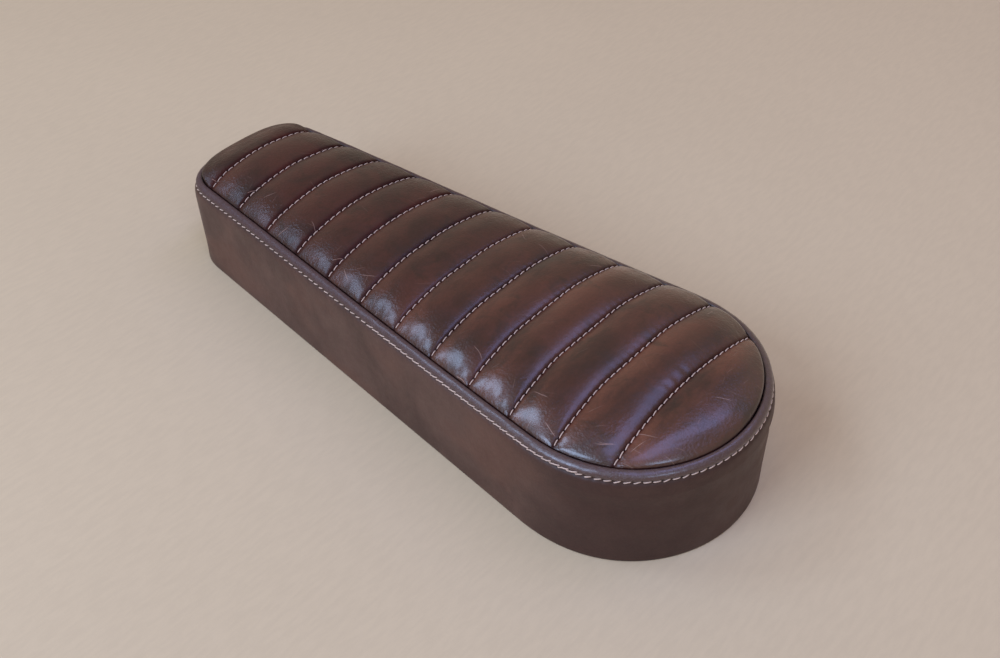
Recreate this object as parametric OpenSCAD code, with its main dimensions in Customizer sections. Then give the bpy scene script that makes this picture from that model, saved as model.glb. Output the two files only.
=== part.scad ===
// Motorcycle seat with a cross-pleated leather cover on a pressed steel pan.
// Axes: +Y is forward (the narrow end), +X is right, +Z is up.
// The origin is under the middle of the seat, at the height of its bottom edge. Units are millimetres.

/* [Outline] */
// Length from the tail to the front edge
seat_l = 492; // [460:1:560]
// Half of the width at the widest part, near the tail
tail_w = 92; // [84:0.5:110]
// Length of the rounded tail
tail_l = 106.6; // [90:0.1:130]
// How square the tail is: 2 is an ellipse
tail_n = 2.07; // [2:0.01:2.6]
// How much each side leans inwards on its way to the front, in degrees
taper = 5.33; // [3:0.01:6.5]
// Length of the front corners
corner_l = 39.9; // [34:0.1:60]
// How square the front corners are: 2 is an ellipse
corner_n = 2.93; // [2.2:0.01:3.6]

/* [Height] */
// Height of the top seam at the middle of the length
seam_h = 76; // [66:0.5:100]
// Rise of the seam towards the tail
tail_rise = 4.7; // [0:0.1:10]
// Rise of the seam towards the front edge
front_rise = 2.2; // [0:0.1:8]
// Height of the crown above the seam
crown_h = 14.8; // [8:0.1:20]
// How far in from the seam the crown reaches its full height
crown_in = 62; // [45:0.5:80]
// How steeply the crown starts at the seam
crown_n = 3.3; // [2:0.01:4]

/* [Cover] */
// Number of pleats across the top
pleats = 13; // [9:1:16]
// First stitch line, behind the front edge
front_pleat = 38.2; // [34:0.1:50]
// Last stitch line, ahead of the tail
tail_pleat = 50.2; // [42:0.1:60]
// Depth of the valley at a stitch line
valley = 3.2; // [1.5:0.1:4]
// How full a pleat is: larger is fuller
pleat_n = 2.6; // [1.6:0.1:4]
// Thickness of the leather on top
top_t = 1.4; // [1:0.1:1.8]
// Thickness of the leather at the side
side_t = 1.6; // [1.2:0.1:2]
// Distance from the outline in to the top seam
seam_in = 8.5; // [7.5:0.1:11]
// Depth of the seam's turned-in edges
allowance = 9; // [7:0.5:10]
// Height of the topstitch below the seam
stitch_drop = 5.8; // [5:0.1:7]
// Distance from the outline in to the topstitch
stitch_in = 1.8; // [1.2:0.1:2.2]
// Height of the hem inside the rim
hem_h = 18; // [17:0.5:18.5]
// Thread radius
thread_r = 0.45; // [0.3:0.01:0.55]

/* [Filling] */
// Thickness of the sewn foam behind the pleats
quilt_t = 6; // [5:0.5:8]
// Thickness of the backing cloth
cloth_t = 0.5; // [0.4:0.1:0.8]
// Thickness of the moisture film
film_t = 0.3; // [0.2:0.1:0.5]
// Top of the firm foam
base_top = 54; // [44:0.5:55]
// Thickness of the side liner
liner_t = 2.9; // [2:0.1:3.5]

/* [Pan] */
// Thickness of the pan's steel
pan_t = 1.5; // [1:0.1:2]
// Height of the pan's top face
pan_top = 22; // [21:0.5:26]
// Height of the rim's lower edge
rim_z = 3.5; // [3:0.1:4.5]
// Width of the long central bead
bead_w = 24; // [16:1:30]
// Height of the beads
bead_h = 4; // [2:0.5:6]
// Radius of a drain hole
drain_r = 5; // [3:0.5:7]
// Distance of the drain holes from the middle
drain_y = 60; // [30:1:80]
// Radius of a rivet's shank
rivet_r = 2; // [1.6:0.1:2.2]
// Height of the rivets
rivet_z = 13.5; // [13:0.1:14]

/* [Fixings] */
// Distance between the studs across the seat
stud_x = 50; // [46:1:56]
// Distance between the studs along the seat
stud_y = 250; // [230:1:260]
// Radius of a stud
stud_r = 4; // [3:0.5:4]
// Height of a stud's end
stud_z = 2.5; // [1:0.5:5]
// Width of a cross strap
strap_w = 30; // [26:1:34]
// Thickness of a cross strap
strap_t = 3; // [2:0.1:4]
// Radius of a strap screw
screw_r = 3; // [2.5:0.5:3]
// Radius of a rubber buffer
buffer_r = 13; // [10:0.5:14]
// Height of a rubber buffer
buffer_h = 13; // [8:0.5:15]

/* [Hidden] */

$fn = 48;
eps = 0.01; // overshoot of a cut
gap = 0.2; // between neighbours that only lie against each other
play = 0.15; // round a shank in its hole

// Places along the seat
tail_y = tail_l - seat_l / 2; // middle of the rounded tail
corner_y = seat_l / 2 - corner_l; // start of the front corners
first_line = seat_l / 2 - front_pleat;
pitch = (seat_l - front_pleat - tail_pleat) / (pleats - 2);
lines = pleats - 1;

// Insets from the outline, from the outside inwards
liner_in = side_t + gap;
rim_in = liner_in + liner_t + gap;
trim_leg = 1;
hem_in = rim_in + pan_t + trim_leg + gap;
hem_end = hem_in + side_t;
groove = 0.15; // half of the open groove at the seam
flange_in = seam_in + groove; // outer face of the top panel's turned-in edge
tape_t = 1;
fill_in = flange_in + top_t + tape_t + 3 * gap; // edge of the sewn layers
side_flange_in = seam_in - groove - side_t; // inner face of the side panel's turned-in edge
roll_in = side_flange_in - 2 * thread_r - 2 * gap; // edge of the liner's roll, beside the seam's thread

// Depths below the smooth crown
quilt_top = top_t + gap;
cloth_top = quilt_top + quilt_t + 2 * gap;
film_top = cloth_top + cloth_t + gap;
foam_top = film_top + film_t + gap;

// Heights
plate_z = pan_top - pan_t; // underside of the pan's plate
strap_z = plate_z - strap_t;
base_z = pan_top;
soft_z = base_top + gap;
shoulder_z = seam_h - allowance - gap; // shoulder of the soft foam, under the turned-in edges
trim_top = 9;
liner_z = hem_h;

// Fixings
stud_neck_r = stud_r + 1; // of its stretch in the strap and the pan
stud_head_r = stud_r + 3;
stud_head_t = 2;
nut_r = screw_r + 2.5;
nut_h = 6;
washer_r = screw_r + 3;
washer_t = 1.6;
head_h = 4;
barb_r = 5.5;
stem_r = 4;
barb_h = 3;
side_bead_w = 16;
bead_end = 65; // from each end of the seat to the central bead
side_bead_in = 22; // from the rim to the middle of a side bead
front_buffer_end = 61; // from the front edge to the front buffers
rear_buffer_end = 56; // from the tail to the rear buffers
joint_row = 4; // from the side panel's joint to each row of stitches
joint_z = 6; // lower end of those rows
joint_t = thread_r;
bead_l = stud_y - strap_w - 10;
rivet_head_r = 1.8 * rivet_r;
rivet_head_t = 1.2;
rivet_washer_r = 2.2 * rivet_r;
rivet_washer_t = 0.8;

// ---------- the outline ----------

// Half of the width at y, for an outline moved in by off
function half_w(y, off) =
    let (r = tail_w - off)
    y < tail_y
        ? let (t = min(1, (tail_y - y) / (tail_l - off)), u = 1 - pow(t, tail_n))
          r * pow(u, 1 / tail_n) + tan(taper) * (tail_l - off) * t * u
        : let (w = r - tan(taper) * (y - tail_y), t = max(0, y - corner_y) / (corner_l - off))
          w * pow(max(0, 1 - pow(min(1, t), corner_n)), 1 / corner_n);

TAIL_STEPS = 12;
SIDE_STEPS = 10;
CORNER_STEPS = 8;

// Positions along the seat of the outline's points, from the tail's tip to the front's tip
function stations(off) = concat(
    [for (i = [0 : TAIL_STEPS]) tail_y - (tail_l - off) * pow(cos(90 * i / TAIL_STEPS), 2 / tail_n)],
    [for (i = [1 : SIDE_STEPS]) tail_y + (corner_y - tail_y) * i / SIDE_STEPS],
    [for (i = [1 : CORNER_STEPS])
        corner_y + (corner_l - off) * pow(sin(90 * i / CORNER_STEPS), 2 / corner_n)]
);

// The closed outline, moved in by off, turning anticlockwise from the tail's tip
function outline(off) =
    let (y = stations(off), n = len(y))
    concat(
        [for (i = [0 : n - 1]) [i == 0 || i == n - 1 ? 0 : half_w(y[i], off), y[i]]],
        [for (i = [n - 2 : -1 : 1]) [-half_w(y[i], off), y[i]]]
    );

// A wall between two insets
module wall(outer, inner, z0, z1)
    translate([0, 0, z0]) linear_extrude(z1 - z0) difference() {
        polygon(outline(outer));
        polygon(outline(inner));
    }

// A plate of the outline's shape
module plate(off, z0, z1)
    translate([0, 0, z0]) linear_extrude(z1 - z0) polygon(outline(off));

// ---------- the crowned top ----------

function rise(y) = (y < 0 ? tail_rise : front_rise) * pow(2 * y / seat_l, 2);

// Distance in from the seam within a rounded end: t runs along it and g across, from 0 to 1
function end_depth(g, t, n, across, along) =
    let (
        v = pow(min(1, t), n),
        u = pow(g, n) * (1 - v),
        p = pow(u + v, 1 / n),
        slope = norm([pow(u, (n - 1) / n) / across, pow(v, (n - 1) / n) / along])
    )
    p < 0.01 ? along : (1 - p) * pow(p, n - 1) / slope;

// Distance in from the seam
function depth(x, y) =
    let (w = half_w(y, seam_in), g = w > 0 ? min(1, abs(x) / w) : 1)
    y < tail_y
        ? end_depth(g, (tail_y - y) / (tail_l - seam_in), tail_n, tail_w - seam_in, tail_l - seam_in)
    : y > corner_y
        ? end_depth(g, (y - corner_y) / (corner_l - seam_in), corner_n,
                    half_w(corner_y, seam_in), corner_l - seam_in)
    : (w - abs(x)) * cos(taper);

function crown(d) = crown_h * (1 - pow(1 - min(max(d, 0) / crown_in, 1), crown_n));

// Valley of the pleats at y, which fades out towards the seam
fade_in = 10;
function pleat_drop(y, d) =
    let (
        q = (first_line - y) / pitch,
        near = abs(q - max(0, min(lines - 1, round(q)))),
        fade = pow(min(1, max(d, 0) / fade_in), 0.6)
    )
    valley * pow(max(0, 1 - 2 * near), pleat_n) * fade;

// Height of the top, smooth or pleated, at a depth below its surface
function top_z(x, y, below, pleated) =
    let (d = depth(x, y))
    seam_h + rise(y) + crown(d) - below - (pleated ? pleat_drop(y, d) : 0);

// Rows run across the seat. Steps within one pleat, and within the pleat at each end
FINE = [0, 0.12, 0.3, 0.5, 0.7, 0.88];
COARSE = [0, 0.5];
END_FINE = [0.12, 0.3, 0.5, 0.68, 0.82, 0.92, 0.975, 0.997];
END_COARSE = [0.3, 0.6, 0.82, 0.95, 0.995];
// Columns, as shares of the half width in from the edge
EDGE = [0, 0.05, 0.13, 0.25, 0.42, 0.7];

function rows(off, fine) =
    let (
        step = fine ? FINE : COARSE,
        end = fine ? END_FINE : END_COARSE,
        last_line = first_line - (lines - 1) * pitch,
        tail = off - seat_l / 2,
        front = seat_l / 2 - off,
        n = len(end)
    )
    concat(
        [for (i = [n - 1 : -1 : 0]) last_line + (tail - last_line) * end[i]],
        [for (k = [0 : lines - 2]) for (s = step) last_line + (k + s) * pitch],
        [first_line],
        [for (s = end) first_line + (front - first_line) * s]
    );

COLUMNS = concat([for (e = EDGE) e - 1], [0], [for (i = [len(EDGE) - 1 : -1 : 0]) 1 - EDGE[i]]);

// A sheet of the crowned top, as a grid of points
function grid(off, fine, below, pleated) = [
    for (y = rows(off, fine)) [
        for (c = COLUMNS) let (x = c * half_w(y, off)) [x, y, top_z(x, y, below, pleated)]
    ]
];

// The grid's edge, anticlockwise from its first point
function rim(g) =
    let (n = len(g), m = len(g[0]))
    concat(
        [for (j = [0 : m - 1]) g[0][j]],
        [for (i = [1 : n - 1]) g[i][m - 1]],
        [for (j = [m - 2 : -1 : 0]) g[n - 1][j]],
        [for (i = [n - 2 : -1 : 1]) g[i][0]]
    );

// The rim's points as numbers of the grid's points
function rim_numbers(n, m) = concat(
    [for (j = [0 : m - 1]) j],
    [for (i = [1 : n - 1]) i * m + m - 1],
    [for (j = [m - 2 : -1 : 0]) (n - 1) * m + j],
    [for (i = [n - 2 : -1 : 1]) i * m]
);

function flat(list) = [for (a = list) each a];

// Faces of a grid, seen from above, or from below when turned
function grid_faces(n, m, from, turned) = [
    for (i = [0 : n - 2]) for (j = [0 : m - 2])
        let (a = from + i * m + j, b = a + 1, c = a + m + 1, d = a + m)
        each turned ? [[a, b, c], [a, c, d]] : [[a, c, b], [a, d, c]]
];

// Faces between two loops of numbers, the first of them higher or farther out
function belt(upper, lower) = [
    for (i = [0 : len(upper) - 1])
        let (k = (i + 1) % len(upper))
        each [[upper[i], upper[k], lower[k]], [upper[i], lower[k], lower[i]]]
];

function count(from, n) = [for (i = [0 : n - 1]) from + i];

// A crowned sheet with an upper and a lower grid and plain edges
module crowned_sheet(off, fine, upper, lower, pleated) {
    a = grid(off, fine, upper, pleated);
    b = grid(off, fine, lower, false);
    n = len(a);
    m = len(a[0]);
    edge = rim_numbers(n, m);
    polyhedron(
        concat(flat(a), flat(b)),
        concat(
            grid_faces(n, m, 0, false),
            grid_faces(n, m, n * m, true),
            belt(edge, [for (e = edge) e + n * m])
        )
    );
}

// A closed section swept round the outline. A section point is [inset, height, share of the rise]
module swept(section) {
    m = len(section);
    loops = [for (p = section) outline(p[0])];
    n = len(loops[0]);
    points = [
        for (j = [0 : m - 1]) for (q = loops[j])
            [q[0], q[1], section[j][1] + section[j][2] * rise(q[1])]
    ];
    polyhedron(points, [
        for (j = [0 : m - 1])
            let (a = j * n, b = ((j + 1) % m) * n)
            each belt(count(a, n), count(b, n))
    ]);
}

// ---------- sub-parts ----------

module slot(l, w, h) linear_extrude(h) union() {
    square([w, l - w], center = true);
    for (s = [-1, 1]) translate([0, s * (l - w) / 2]) circle(w / 2);
}

// The three beads of the pan, grown by a clearance
module beads(grow, z0, z1) {
    translate([0, 0, z0]) slot(seat_l - 2 * bead_end + 2 * grow, bead_w + 2 * grow, z1 - z0);
    for (s = [-1, 1])
        translate([s * (half_w(0, rim_in) - side_bead_in), 0, z0]) rotate(s * taper)
            slot(bead_l + 2 * grow, side_bead_w + 2 * grow, z1 - z0);
}

STUDS = [for (x = [-1, 1]) for (y = [-1, 1]) [x * stud_x / 2, y * stud_y / 2]];
function strap_end(y) = half_w(y + strap_w / 2, hem_end) - 2; // half length of the strap at y
screw_edge = 8.5; // from the end of a strap to its screw
SCREWS = [for (s = [-1, 1]) for (y = [-1, 1] * stud_y / 2) [s * (strap_end(y) - screw_edge), y]];
buffer_edge = 4; // between a buffer and the hem
function beside_hem(y) = half_w(y, hem_end) - buffer_r - buffer_edge;
front_buffer_y = seat_l / 2 - front_buffer_end;
rear_buffer_y = rear_buffer_end - seat_l / 2;
BUFFERS = [
    for (s = [-1, 1]) each [
        [s * beside_hem(front_buffer_y), front_buffer_y],
        [s * (bead_w / 2 + buffer_r + 5), 0],
        [s * beside_hem(rear_buffer_y), rear_buffer_y]
    ]
];
DRAINS = [for (x = [-1, 1] * (bead_w / 2 + drain_r + 9)) for (y = [-drain_y, drain_y]) [x, y]];

module at(places) for (p = places) translate([p[0], p[1], 0]) children();

// A hole or pin along +Z
module pin(r, z0, z1) translate([0, 0, z0]) cylinder(r = r, h = z1 - z0);

// Places of the hem's rivets: middles of every other facet that is long enough for a washer
function facet_mid(p, i) = (p[i] + p[i + 1]) / 2;
hem_line = outline(hem_end);
RIVETS = [
    for (i = [1 : 2 : len(hem_line) / 2 - 1])
        if (norm(hem_line[i + 1] - hem_line[i]) > 2 * rivet_washer_r + 0.5)
            let (e = hem_line[i + 1] - hem_line[i]) [facet_mid(hem_line, i), atan2(e[1], e[0]) - 90]
];

// Something that lies along a rivet, from one inset to another, on both sides of the seat
module at_rivets() for (s = [0, 1]) mirror([s, 0, 0]) for (r = RIVETS)
    translate([r[0][0], r[0][1], rivet_z]) rotate(r[1]) rotate([0, 90, 0]) children();

module rivet_bore(from, to, r) translate([0, 0, -from]) cylinder(r = r, h = from + to);

module seat_pan() color([0.09, 0.09, 0.1]) difference() {
    union() {
        plate(rim_in, rim_z, pan_top);
        beads(0, pan_top - eps, pan_top + bead_h);
    }
    plate(rim_in + pan_t, rim_z - 1, plate_z);
    beads(-pan_t, plate_z - 1, plate_z + bead_h);
    at(DRAINS) pin(drain_r, plate_z - 1, pan_top + 1);
    at(STUDS) pin(stud_neck_r + play, plate_z - 1, pan_top + 1);
    at(SCREWS) pin(screw_r + play, plate_z - 1, pan_top + 1);
    at(BUFFERS) pin(stem_r + play, plate_z - 1, pan_top + 1);
    at_rivets() rivet_bore(0, hem_end - rim_in + 3, rivet_r + play);
}

module rim_edge_trim() color([0.05, 0.05, 0.05]) difference() {
    wall(liner_in, rim_in + pan_t + trim_leg, side_t + gap, trim_top);
    wall(rim_in, rim_in + pan_t, rim_z, trim_top + 1);
}

module strap(y) difference() {
    translate([0, y, strap_z]) rotate(90) slot(2 * strap_end(y), strap_w, strap_t);
    at(STUDS) pin(stud_neck_r + play, strap_z - 1, plate_z + 1);
    at(SCREWS) pin(screw_r + play, strap_z - 1, plate_z + 1);
}

module front_cross_strap() color([0.5, 0.5, 0.52]) strap(stud_y / 2);

module rear_cross_strap() color([0.5, 0.5, 0.52]) strap(-stud_y / 2);

module mounting_studs() color([0.75, 0.72, 0.6]) at(STUDS) {
    pin(stud_r, stud_z, strap_z + eps);
    pin(stud_neck_r, strap_z, pan_top + eps);
    pin(stud_head_r, pan_top, pan_top + stud_head_t);
}

module strap_screws() color([0.7, 0.7, 0.72]) at(SCREWS) {
    pin(screw_r, strap_z - washer_t - eps, pan_top + nut_h - 0.5);
    translate([0, 0, strap_z - washer_t - head_h]) cylinder(r = screw_r * 1.9, h = head_h, $fn = 6);
}

module strap_washers() color([0.7, 0.7, 0.72]) at(SCREWS) difference() {
    pin(washer_r, strap_z - washer_t, strap_z);
    pin(screw_r + play, strap_z - washer_t - 1, strap_z + 1);
}

module clinch_nuts() color([0.75, 0.72, 0.6]) at(SCREWS) difference() {
    pin(nut_r, pan_top, pan_top + nut_h);
    pin(screw_r + play, pan_top - 1, pan_top + nut_h + 1);
}

module rubber_buffers() color([0.06, 0.06, 0.06]) at(BUFFERS) {
    pin(buffer_r, plate_z - buffer_h, plate_z);
    pin(stem_r, plate_z - eps, pan_top + eps);
    pin(barb_r, pan_top, pan_top + barb_h);
}

module base_foam() color([0.9, 0.87, 0.7]) difference() {
    plate(rim_in, base_z, base_top);
    beads(gap, base_z - 1, pan_top + bead_h + gap);
    at(STUDS) pin(stud_head_r + gap, base_z - 1, pan_top + stud_head_t + gap);
    at(SCREWS) pin(nut_r + gap, base_z - 1, pan_top + nut_h + gap);
    at(BUFFERS) pin(barb_r + gap, base_z - 1, pan_top + barb_h + gap);
}

// The soft foam's top is crowned. Its shoulder passes under the seam's turned-in edges
module comfort_foam() color([0.95, 0.9, 0.5]) {
    a = grid(fill_in, false, foam_top, false);
    b = grid(rim_in, false, 0, false);
    n = len(a);
    m = len(a[0]);
    size = n * m;
    edge = rim_numbers(n, m);
    k = len(edge);
    points = concat(
        flat(a),
        [for (p = flat(b)) [p[0], p[1], soft_z]],
        [for (p = rim(a)) [p[0], p[1], shoulder_z + rise(p[1])]],
        [for (p = rim(b)) [p[0], p[1], shoulder_z + rise(p[1])]]
    );
    polyhedron(points, concat(
        grid_faces(n, m, 0, false),
        grid_faces(n, m, size, true),
        belt(edge, count(2 * size, k)),
        belt(count(2 * size, k), count(2 * size + k, k)),
        belt(count(2 * size + k, k), [for (e = edge) e + size])
    ));
}

module moisture_film() color([0.8, 0.85, 0.9]) crowned_sheet(fill_in, false, film_top, film_top + film_t, false);

module backing_cloth() color([0.85, 0.85, 0.82]) crowned_sheet(fill_in, false, cloth_top, cloth_top + cloth_t, false);

module pleat_padding() color([0.6, 0.6, 0.62]) crowned_sheet(fill_in, true, quilt_top, quilt_top + quilt_t, true);

// The pleated leather, with its edge turned in at the seam
module top_panel() color([0.33, 0.2, 0.15]) {
    a = grid(flange_in, true, 0, true);
    b = grid(flange_in + top_t, true, top_t, true);
    n = len(a);
    m = len(a[0]);
    size = n * m;
    edge = rim_numbers(n, m);
    k = len(edge);
    outer = rim(a);
    inner = rim(b);
    points = concat(
        flat(a), flat(b),
        [for (p = outer) [p[0], p[1], seam_h - allowance + rise(p[1])]],
        [for (p = inner) [p[0], p[1], seam_h - allowance + rise(p[1])]]
    );
    polyhedron(points, concat(
        grid_faces(n, m, 0, false),
        grid_faces(n, m, size, true),
        belt(edge, count(2 * size, k)),
        belt(count(2 * size, k), count(2 * size + k, k)),
        belt(count(2 * size + k, k), [for (e = edge) e + size])
    ));
}

// Section of the side: hem, wall, topstitched shoulder and the turned-in edge at the seam
SIDE_SECTION = [
    [0.4, 0, 0],
    [0, 3, 0],
    [0, seam_h - 3 * stitch_drop, 1],
    [stitch_in, seam_h - stitch_drop, 1],
    [stitch_in + 0.5, seam_h - 0.55 * stitch_drop, 1],
    [0.5 * seam_in, seam_h - 0.9, 1],
    [0.8 * seam_in, seam_h + 0.1, 1],
    [seam_in - groove, seam_h - 0.6, 1],
    [seam_in - groove, seam_h - allowance, 1],
    [side_flange_in, seam_h - allowance, 1],
    [side_flange_in, seam_h - side_t - 0.2, 1],
    [0.5 * seam_in + 0.7, seam_h - side_t - 0.9, 1],
    [stitch_in + 1.9, seam_h - stitch_drop + 0.4, 1],
    [side_t, seam_h - 3 * stitch_drop, 1],
    [side_t, side_t, 0],
    [hem_in, side_t, 0],
    [hem_in, hem_h, 0],
    [hem_end, hem_h, 0],
    [hem_end, 0, 0]
];

module side_panel() color([0.32, 0.24, 0.2]) difference() {
    swept([for (i = [len(SIDE_SECTION) - 1 : -1 : 0]) SIDE_SECTION[i]]);
    at_rivets() rivet_bore(1, side_t + 1, rivet_r + play);
}

module side_liner() color([0.7, 0.7, 0.7]) swept([
    [rim_in - gap, liner_z, 0],
    [rim_in - gap, shoulder_z, 1],
    [roll_in, shoulder_z + gap, 1],
    [roll_in, seam_h - side_t - 1.6, 1],
    [stitch_in + 2.4, seam_h - stitch_drop, 1],
    [liner_in, seam_h - 3 * stitch_drop, 1],
    [liner_in, liner_z, 0]
]);

module seam_stay_tape() color([0.9, 0.9, 0.88]) {
    tape_in = flange_in + top_t + gap;
    swept([
        [tape_in + tape_t, seam_h - allowance, 1],
        [tape_in + tape_t, seam_h - 1.5, 1],
        [tape_in, seam_h - 1.5, 1],
        [tape_in, seam_h - allowance, 1]
    ]);
}

// A thread that runs round the seat, with a square section on its corner
module ring_thread(inset, z) swept([
    [inset + thread_r, z, 1],
    [inset, z + thread_r, 1],
    [inset - thread_r, z, 1],
    [inset, z - thread_r, 1]
]);

// A thread along a list of points, with a square section on its corner
module thread(path, side) {
    n = len(path);
    lift = [0, 0, thread_r];
    points = [for (p = path) each [p - side * thread_r, p + lift, p + side * thread_r, p - lift]];
    polyhedron(points, concat(
        [for (i = [0 : n - 2]) for (j = [0 : 3])
            let (a = 4 * i + j, b = 4 * i + (j + 1) % 4)
            each [[a, b, b + 4], [a, b + 4, a + 4]]],
        [[3, 2, 1, 0], [for (j = [0 : 3]) 4 * (n - 1) + j]]
    ));
}

module pleat_stitching() color([0.8, 0.7, 0.62]) for (k = [0 : lines - 1]) {
    y = first_line - k * pitch;
    w = half_w(y, flange_in);
    thread(
        [for (i = [1 : len(COLUMNS) - 2])
            let (x = COLUMNS[i] * w) [x, y, top_z(x, y, -thread_r - play, true)]],
        [0, 1, 0]
    );
}

module perimeter_topstitch() color([0.8, 0.7, 0.62])
    ring_thread(stitch_in - thread_r - 2 * play, seam_h - stitch_drop);

module seam_stitch() color([0.8, 0.7, 0.62])
    ring_thread(side_flange_in - thread_r - play / 2, seam_h - allowance / 2);

// Two rows of stitches beside the joint of the side panel, in the middle of the front
module front_joint_stitch() color([0.8, 0.7, 0.62]) for (s = [-1, 1])
    translate([s * joint_row - thread_r, seat_l / 2 - 0.05, joint_z])
        cube([2 * thread_r, joint_t, seam_h - 3 * stitch_drop - joint_z]);

module hem_rivets() color([0.8, 0.8, 0.82]) at_rivets() {
    rivet_bore(rivet_washer_t + eps, hem_end - rim_in + eps, rivet_r);
    translate([0, 0, -rivet_washer_t - rivet_head_t]) cylinder(r = rivet_head_r, h = rivet_head_t);
    translate([0, 0, hem_end - rim_in]) cylinder(r = 1.4 * rivet_r, h = 2);
}

module hem_washers() color([0.8, 0.8, 0.82]) at_rivets() difference() {
    translate([0, 0, -rivet_washer_t]) cylinder(r = rivet_washer_r, h = rivet_washer_t);
    rivet_bore(2, 1, rivet_r + play);
}

seat_pan();
rim_edge_trim();
front_cross_strap();
rear_cross_strap();
mounting_studs();
strap_screws();
strap_washers();
clinch_nuts();
rubber_buffers();
base_foam();
comfort_foam();
moisture_film();
backing_cloth();
pleat_padding();
top_panel();
side_panel();
side_liner();
seam_stay_tape();
pleat_stitching();
perimeter_topstitch();
seam_stitch();
front_joint_stitch();
hem_rivets();
hem_washers();
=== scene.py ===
"""Motorcycle seat: a cross-pleated leather cover, stitched and riveted over foam on a steel pan."""

import math
from contextlib import contextmanager

import bmesh
import bpy
import numpy as np
from mathutils import Matrix, Vector


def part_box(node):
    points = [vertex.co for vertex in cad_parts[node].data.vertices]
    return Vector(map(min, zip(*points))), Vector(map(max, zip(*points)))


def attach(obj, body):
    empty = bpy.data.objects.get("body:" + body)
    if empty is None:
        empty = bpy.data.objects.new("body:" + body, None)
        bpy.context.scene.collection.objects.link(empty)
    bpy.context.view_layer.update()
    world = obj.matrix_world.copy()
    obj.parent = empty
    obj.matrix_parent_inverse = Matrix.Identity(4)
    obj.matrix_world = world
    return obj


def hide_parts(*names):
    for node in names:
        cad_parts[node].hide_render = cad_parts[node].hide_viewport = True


bl_info = {
    "name": "Pleated Motorcycle Seat",
    "version": (1, 0, 0),
    "blender": (4, 5, 0),
    "location": "3D View > Sidebar > Seat",
    "description": "Builds the leather, stitches and fittings of a pleated motorcycle seat",
    "category": "Object",
}

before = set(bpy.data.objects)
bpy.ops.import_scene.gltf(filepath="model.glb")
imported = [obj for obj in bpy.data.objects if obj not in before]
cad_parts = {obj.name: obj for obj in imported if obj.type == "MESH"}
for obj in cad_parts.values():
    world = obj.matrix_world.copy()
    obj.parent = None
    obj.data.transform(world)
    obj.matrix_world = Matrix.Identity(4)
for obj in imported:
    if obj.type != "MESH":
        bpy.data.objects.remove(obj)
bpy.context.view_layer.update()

# ---------- sizes, in metres ----------

# the outline: a round tail, sides that taper and a blunter front
SIDE_LOW, SIDE_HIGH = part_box("side_panel")
SEAT_L = SIDE_HIGH.y - SIDE_LOW.y
TAIL_W = 0.092  # half of the width where the tail starts
TAIL_L = 0.1066
TAIL_N = 2.07  # 2 would be an ellipse, and more is squarer
TAPER = math.tan(math.radians(5.33))  # how much a side comes in for each length ahead
CORNER_L = 0.0399
CORNER_N = 2.93
TAIL_Y = SIDE_LOW.y + TAIL_L
CORNER_Y = SIDE_HIGH.y - CORNER_L

# the top seam and the crown over it
SEAM_H = 0.076
SEAM_IN = 0.0085  # in from the outline
TAIL_RISE = 0.0047  # how much higher the seam is at each end than in the middle
FRONT_RISE = 0.0022
FRONT_DROP = 0.0018  # how far the seam is pulled down at the front
UNDER_H, UNDER_IN, UNDER_N = 0.0148, 0.062, 3.3  # height, reach and squareness under the quilting
BULGE_H, BULGE_IN, BULGE_N = 0.0055, 0.016, 1.8  # of the leather beside the seam
DOME_H, DOME_IN = 0.0097, 0.062
DOME_LOWER, LOWER_FROM, LOWER_OVER = 0.2, 0.09, 0.09  # share that the dome loses at the front, and where
RIDGE_R, RIDGE_L = 0.010, 0.025  # rounding of the crown's ridge at the front
PUFF_N = 3.0  # how squarely the pleats turn up from the seam at the front and on the right
LEAN, LEAN_IN = 0.0020, 0.0075  # how far they lean out over the band there
LEAN_PEAK = 6.75  # brings the peak of t (1 - t)^2 to 1
PUSH_RIGHT = 0.45  # share of both on the right, where the front has 1
SLOPE_STEP = 0.0004

# the pleats
PLEATS = 13
LINES = PLEATS - 1
FIRST_LINE = SIDE_HIGH.y - 0.0382
LAST_LINE = SIDE_LOW.y + 0.0502
PITCH = (FIRST_LINE - LAST_LINE) / (LINES - 1)
VALLEY = 0.0032  # depth of a line under the pleats in the simulated form
PLEAT_N = 2.1  # how square a pleat is
FADE_IN = 0.014  # from the seam in to where the lines have their full depth
LINE_DROP = 0.00035  # how far the thread draws itself into the leather
END_CLEAR = 0.0006  # from the seam to the first needle hole of a line
BOW, BOW_TAIL, BOW_IN = 0.0012, 0.0020, 0.055  # bow of a line, what the tail adds, and its reach

# leather, its folded edges and the row of stitches round the side
GROOVE = 0.00015  # between the top and the side at the seam
TOP_T = 0.0014
SIDE_T = 0.0016
ALLOWANCE = 0.009  # how far the folded edges hang down inside the seam
SHOULDER_DROP = 0.0174  # from the seam down to where the side is straight
STITCH_DROP = 0.0058  # from the seam down to the row round the side
STITCH_IN = 0.0021
STITCH_SUNK = 0.00035
HEM_IN = 0.0076
HEM_END = HEM_IN + SIDE_T
HEM_H = 0.018
GAP = 0.0002  # between layers
QUILT_T = 0.006  # of the quilting foam along its base

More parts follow.
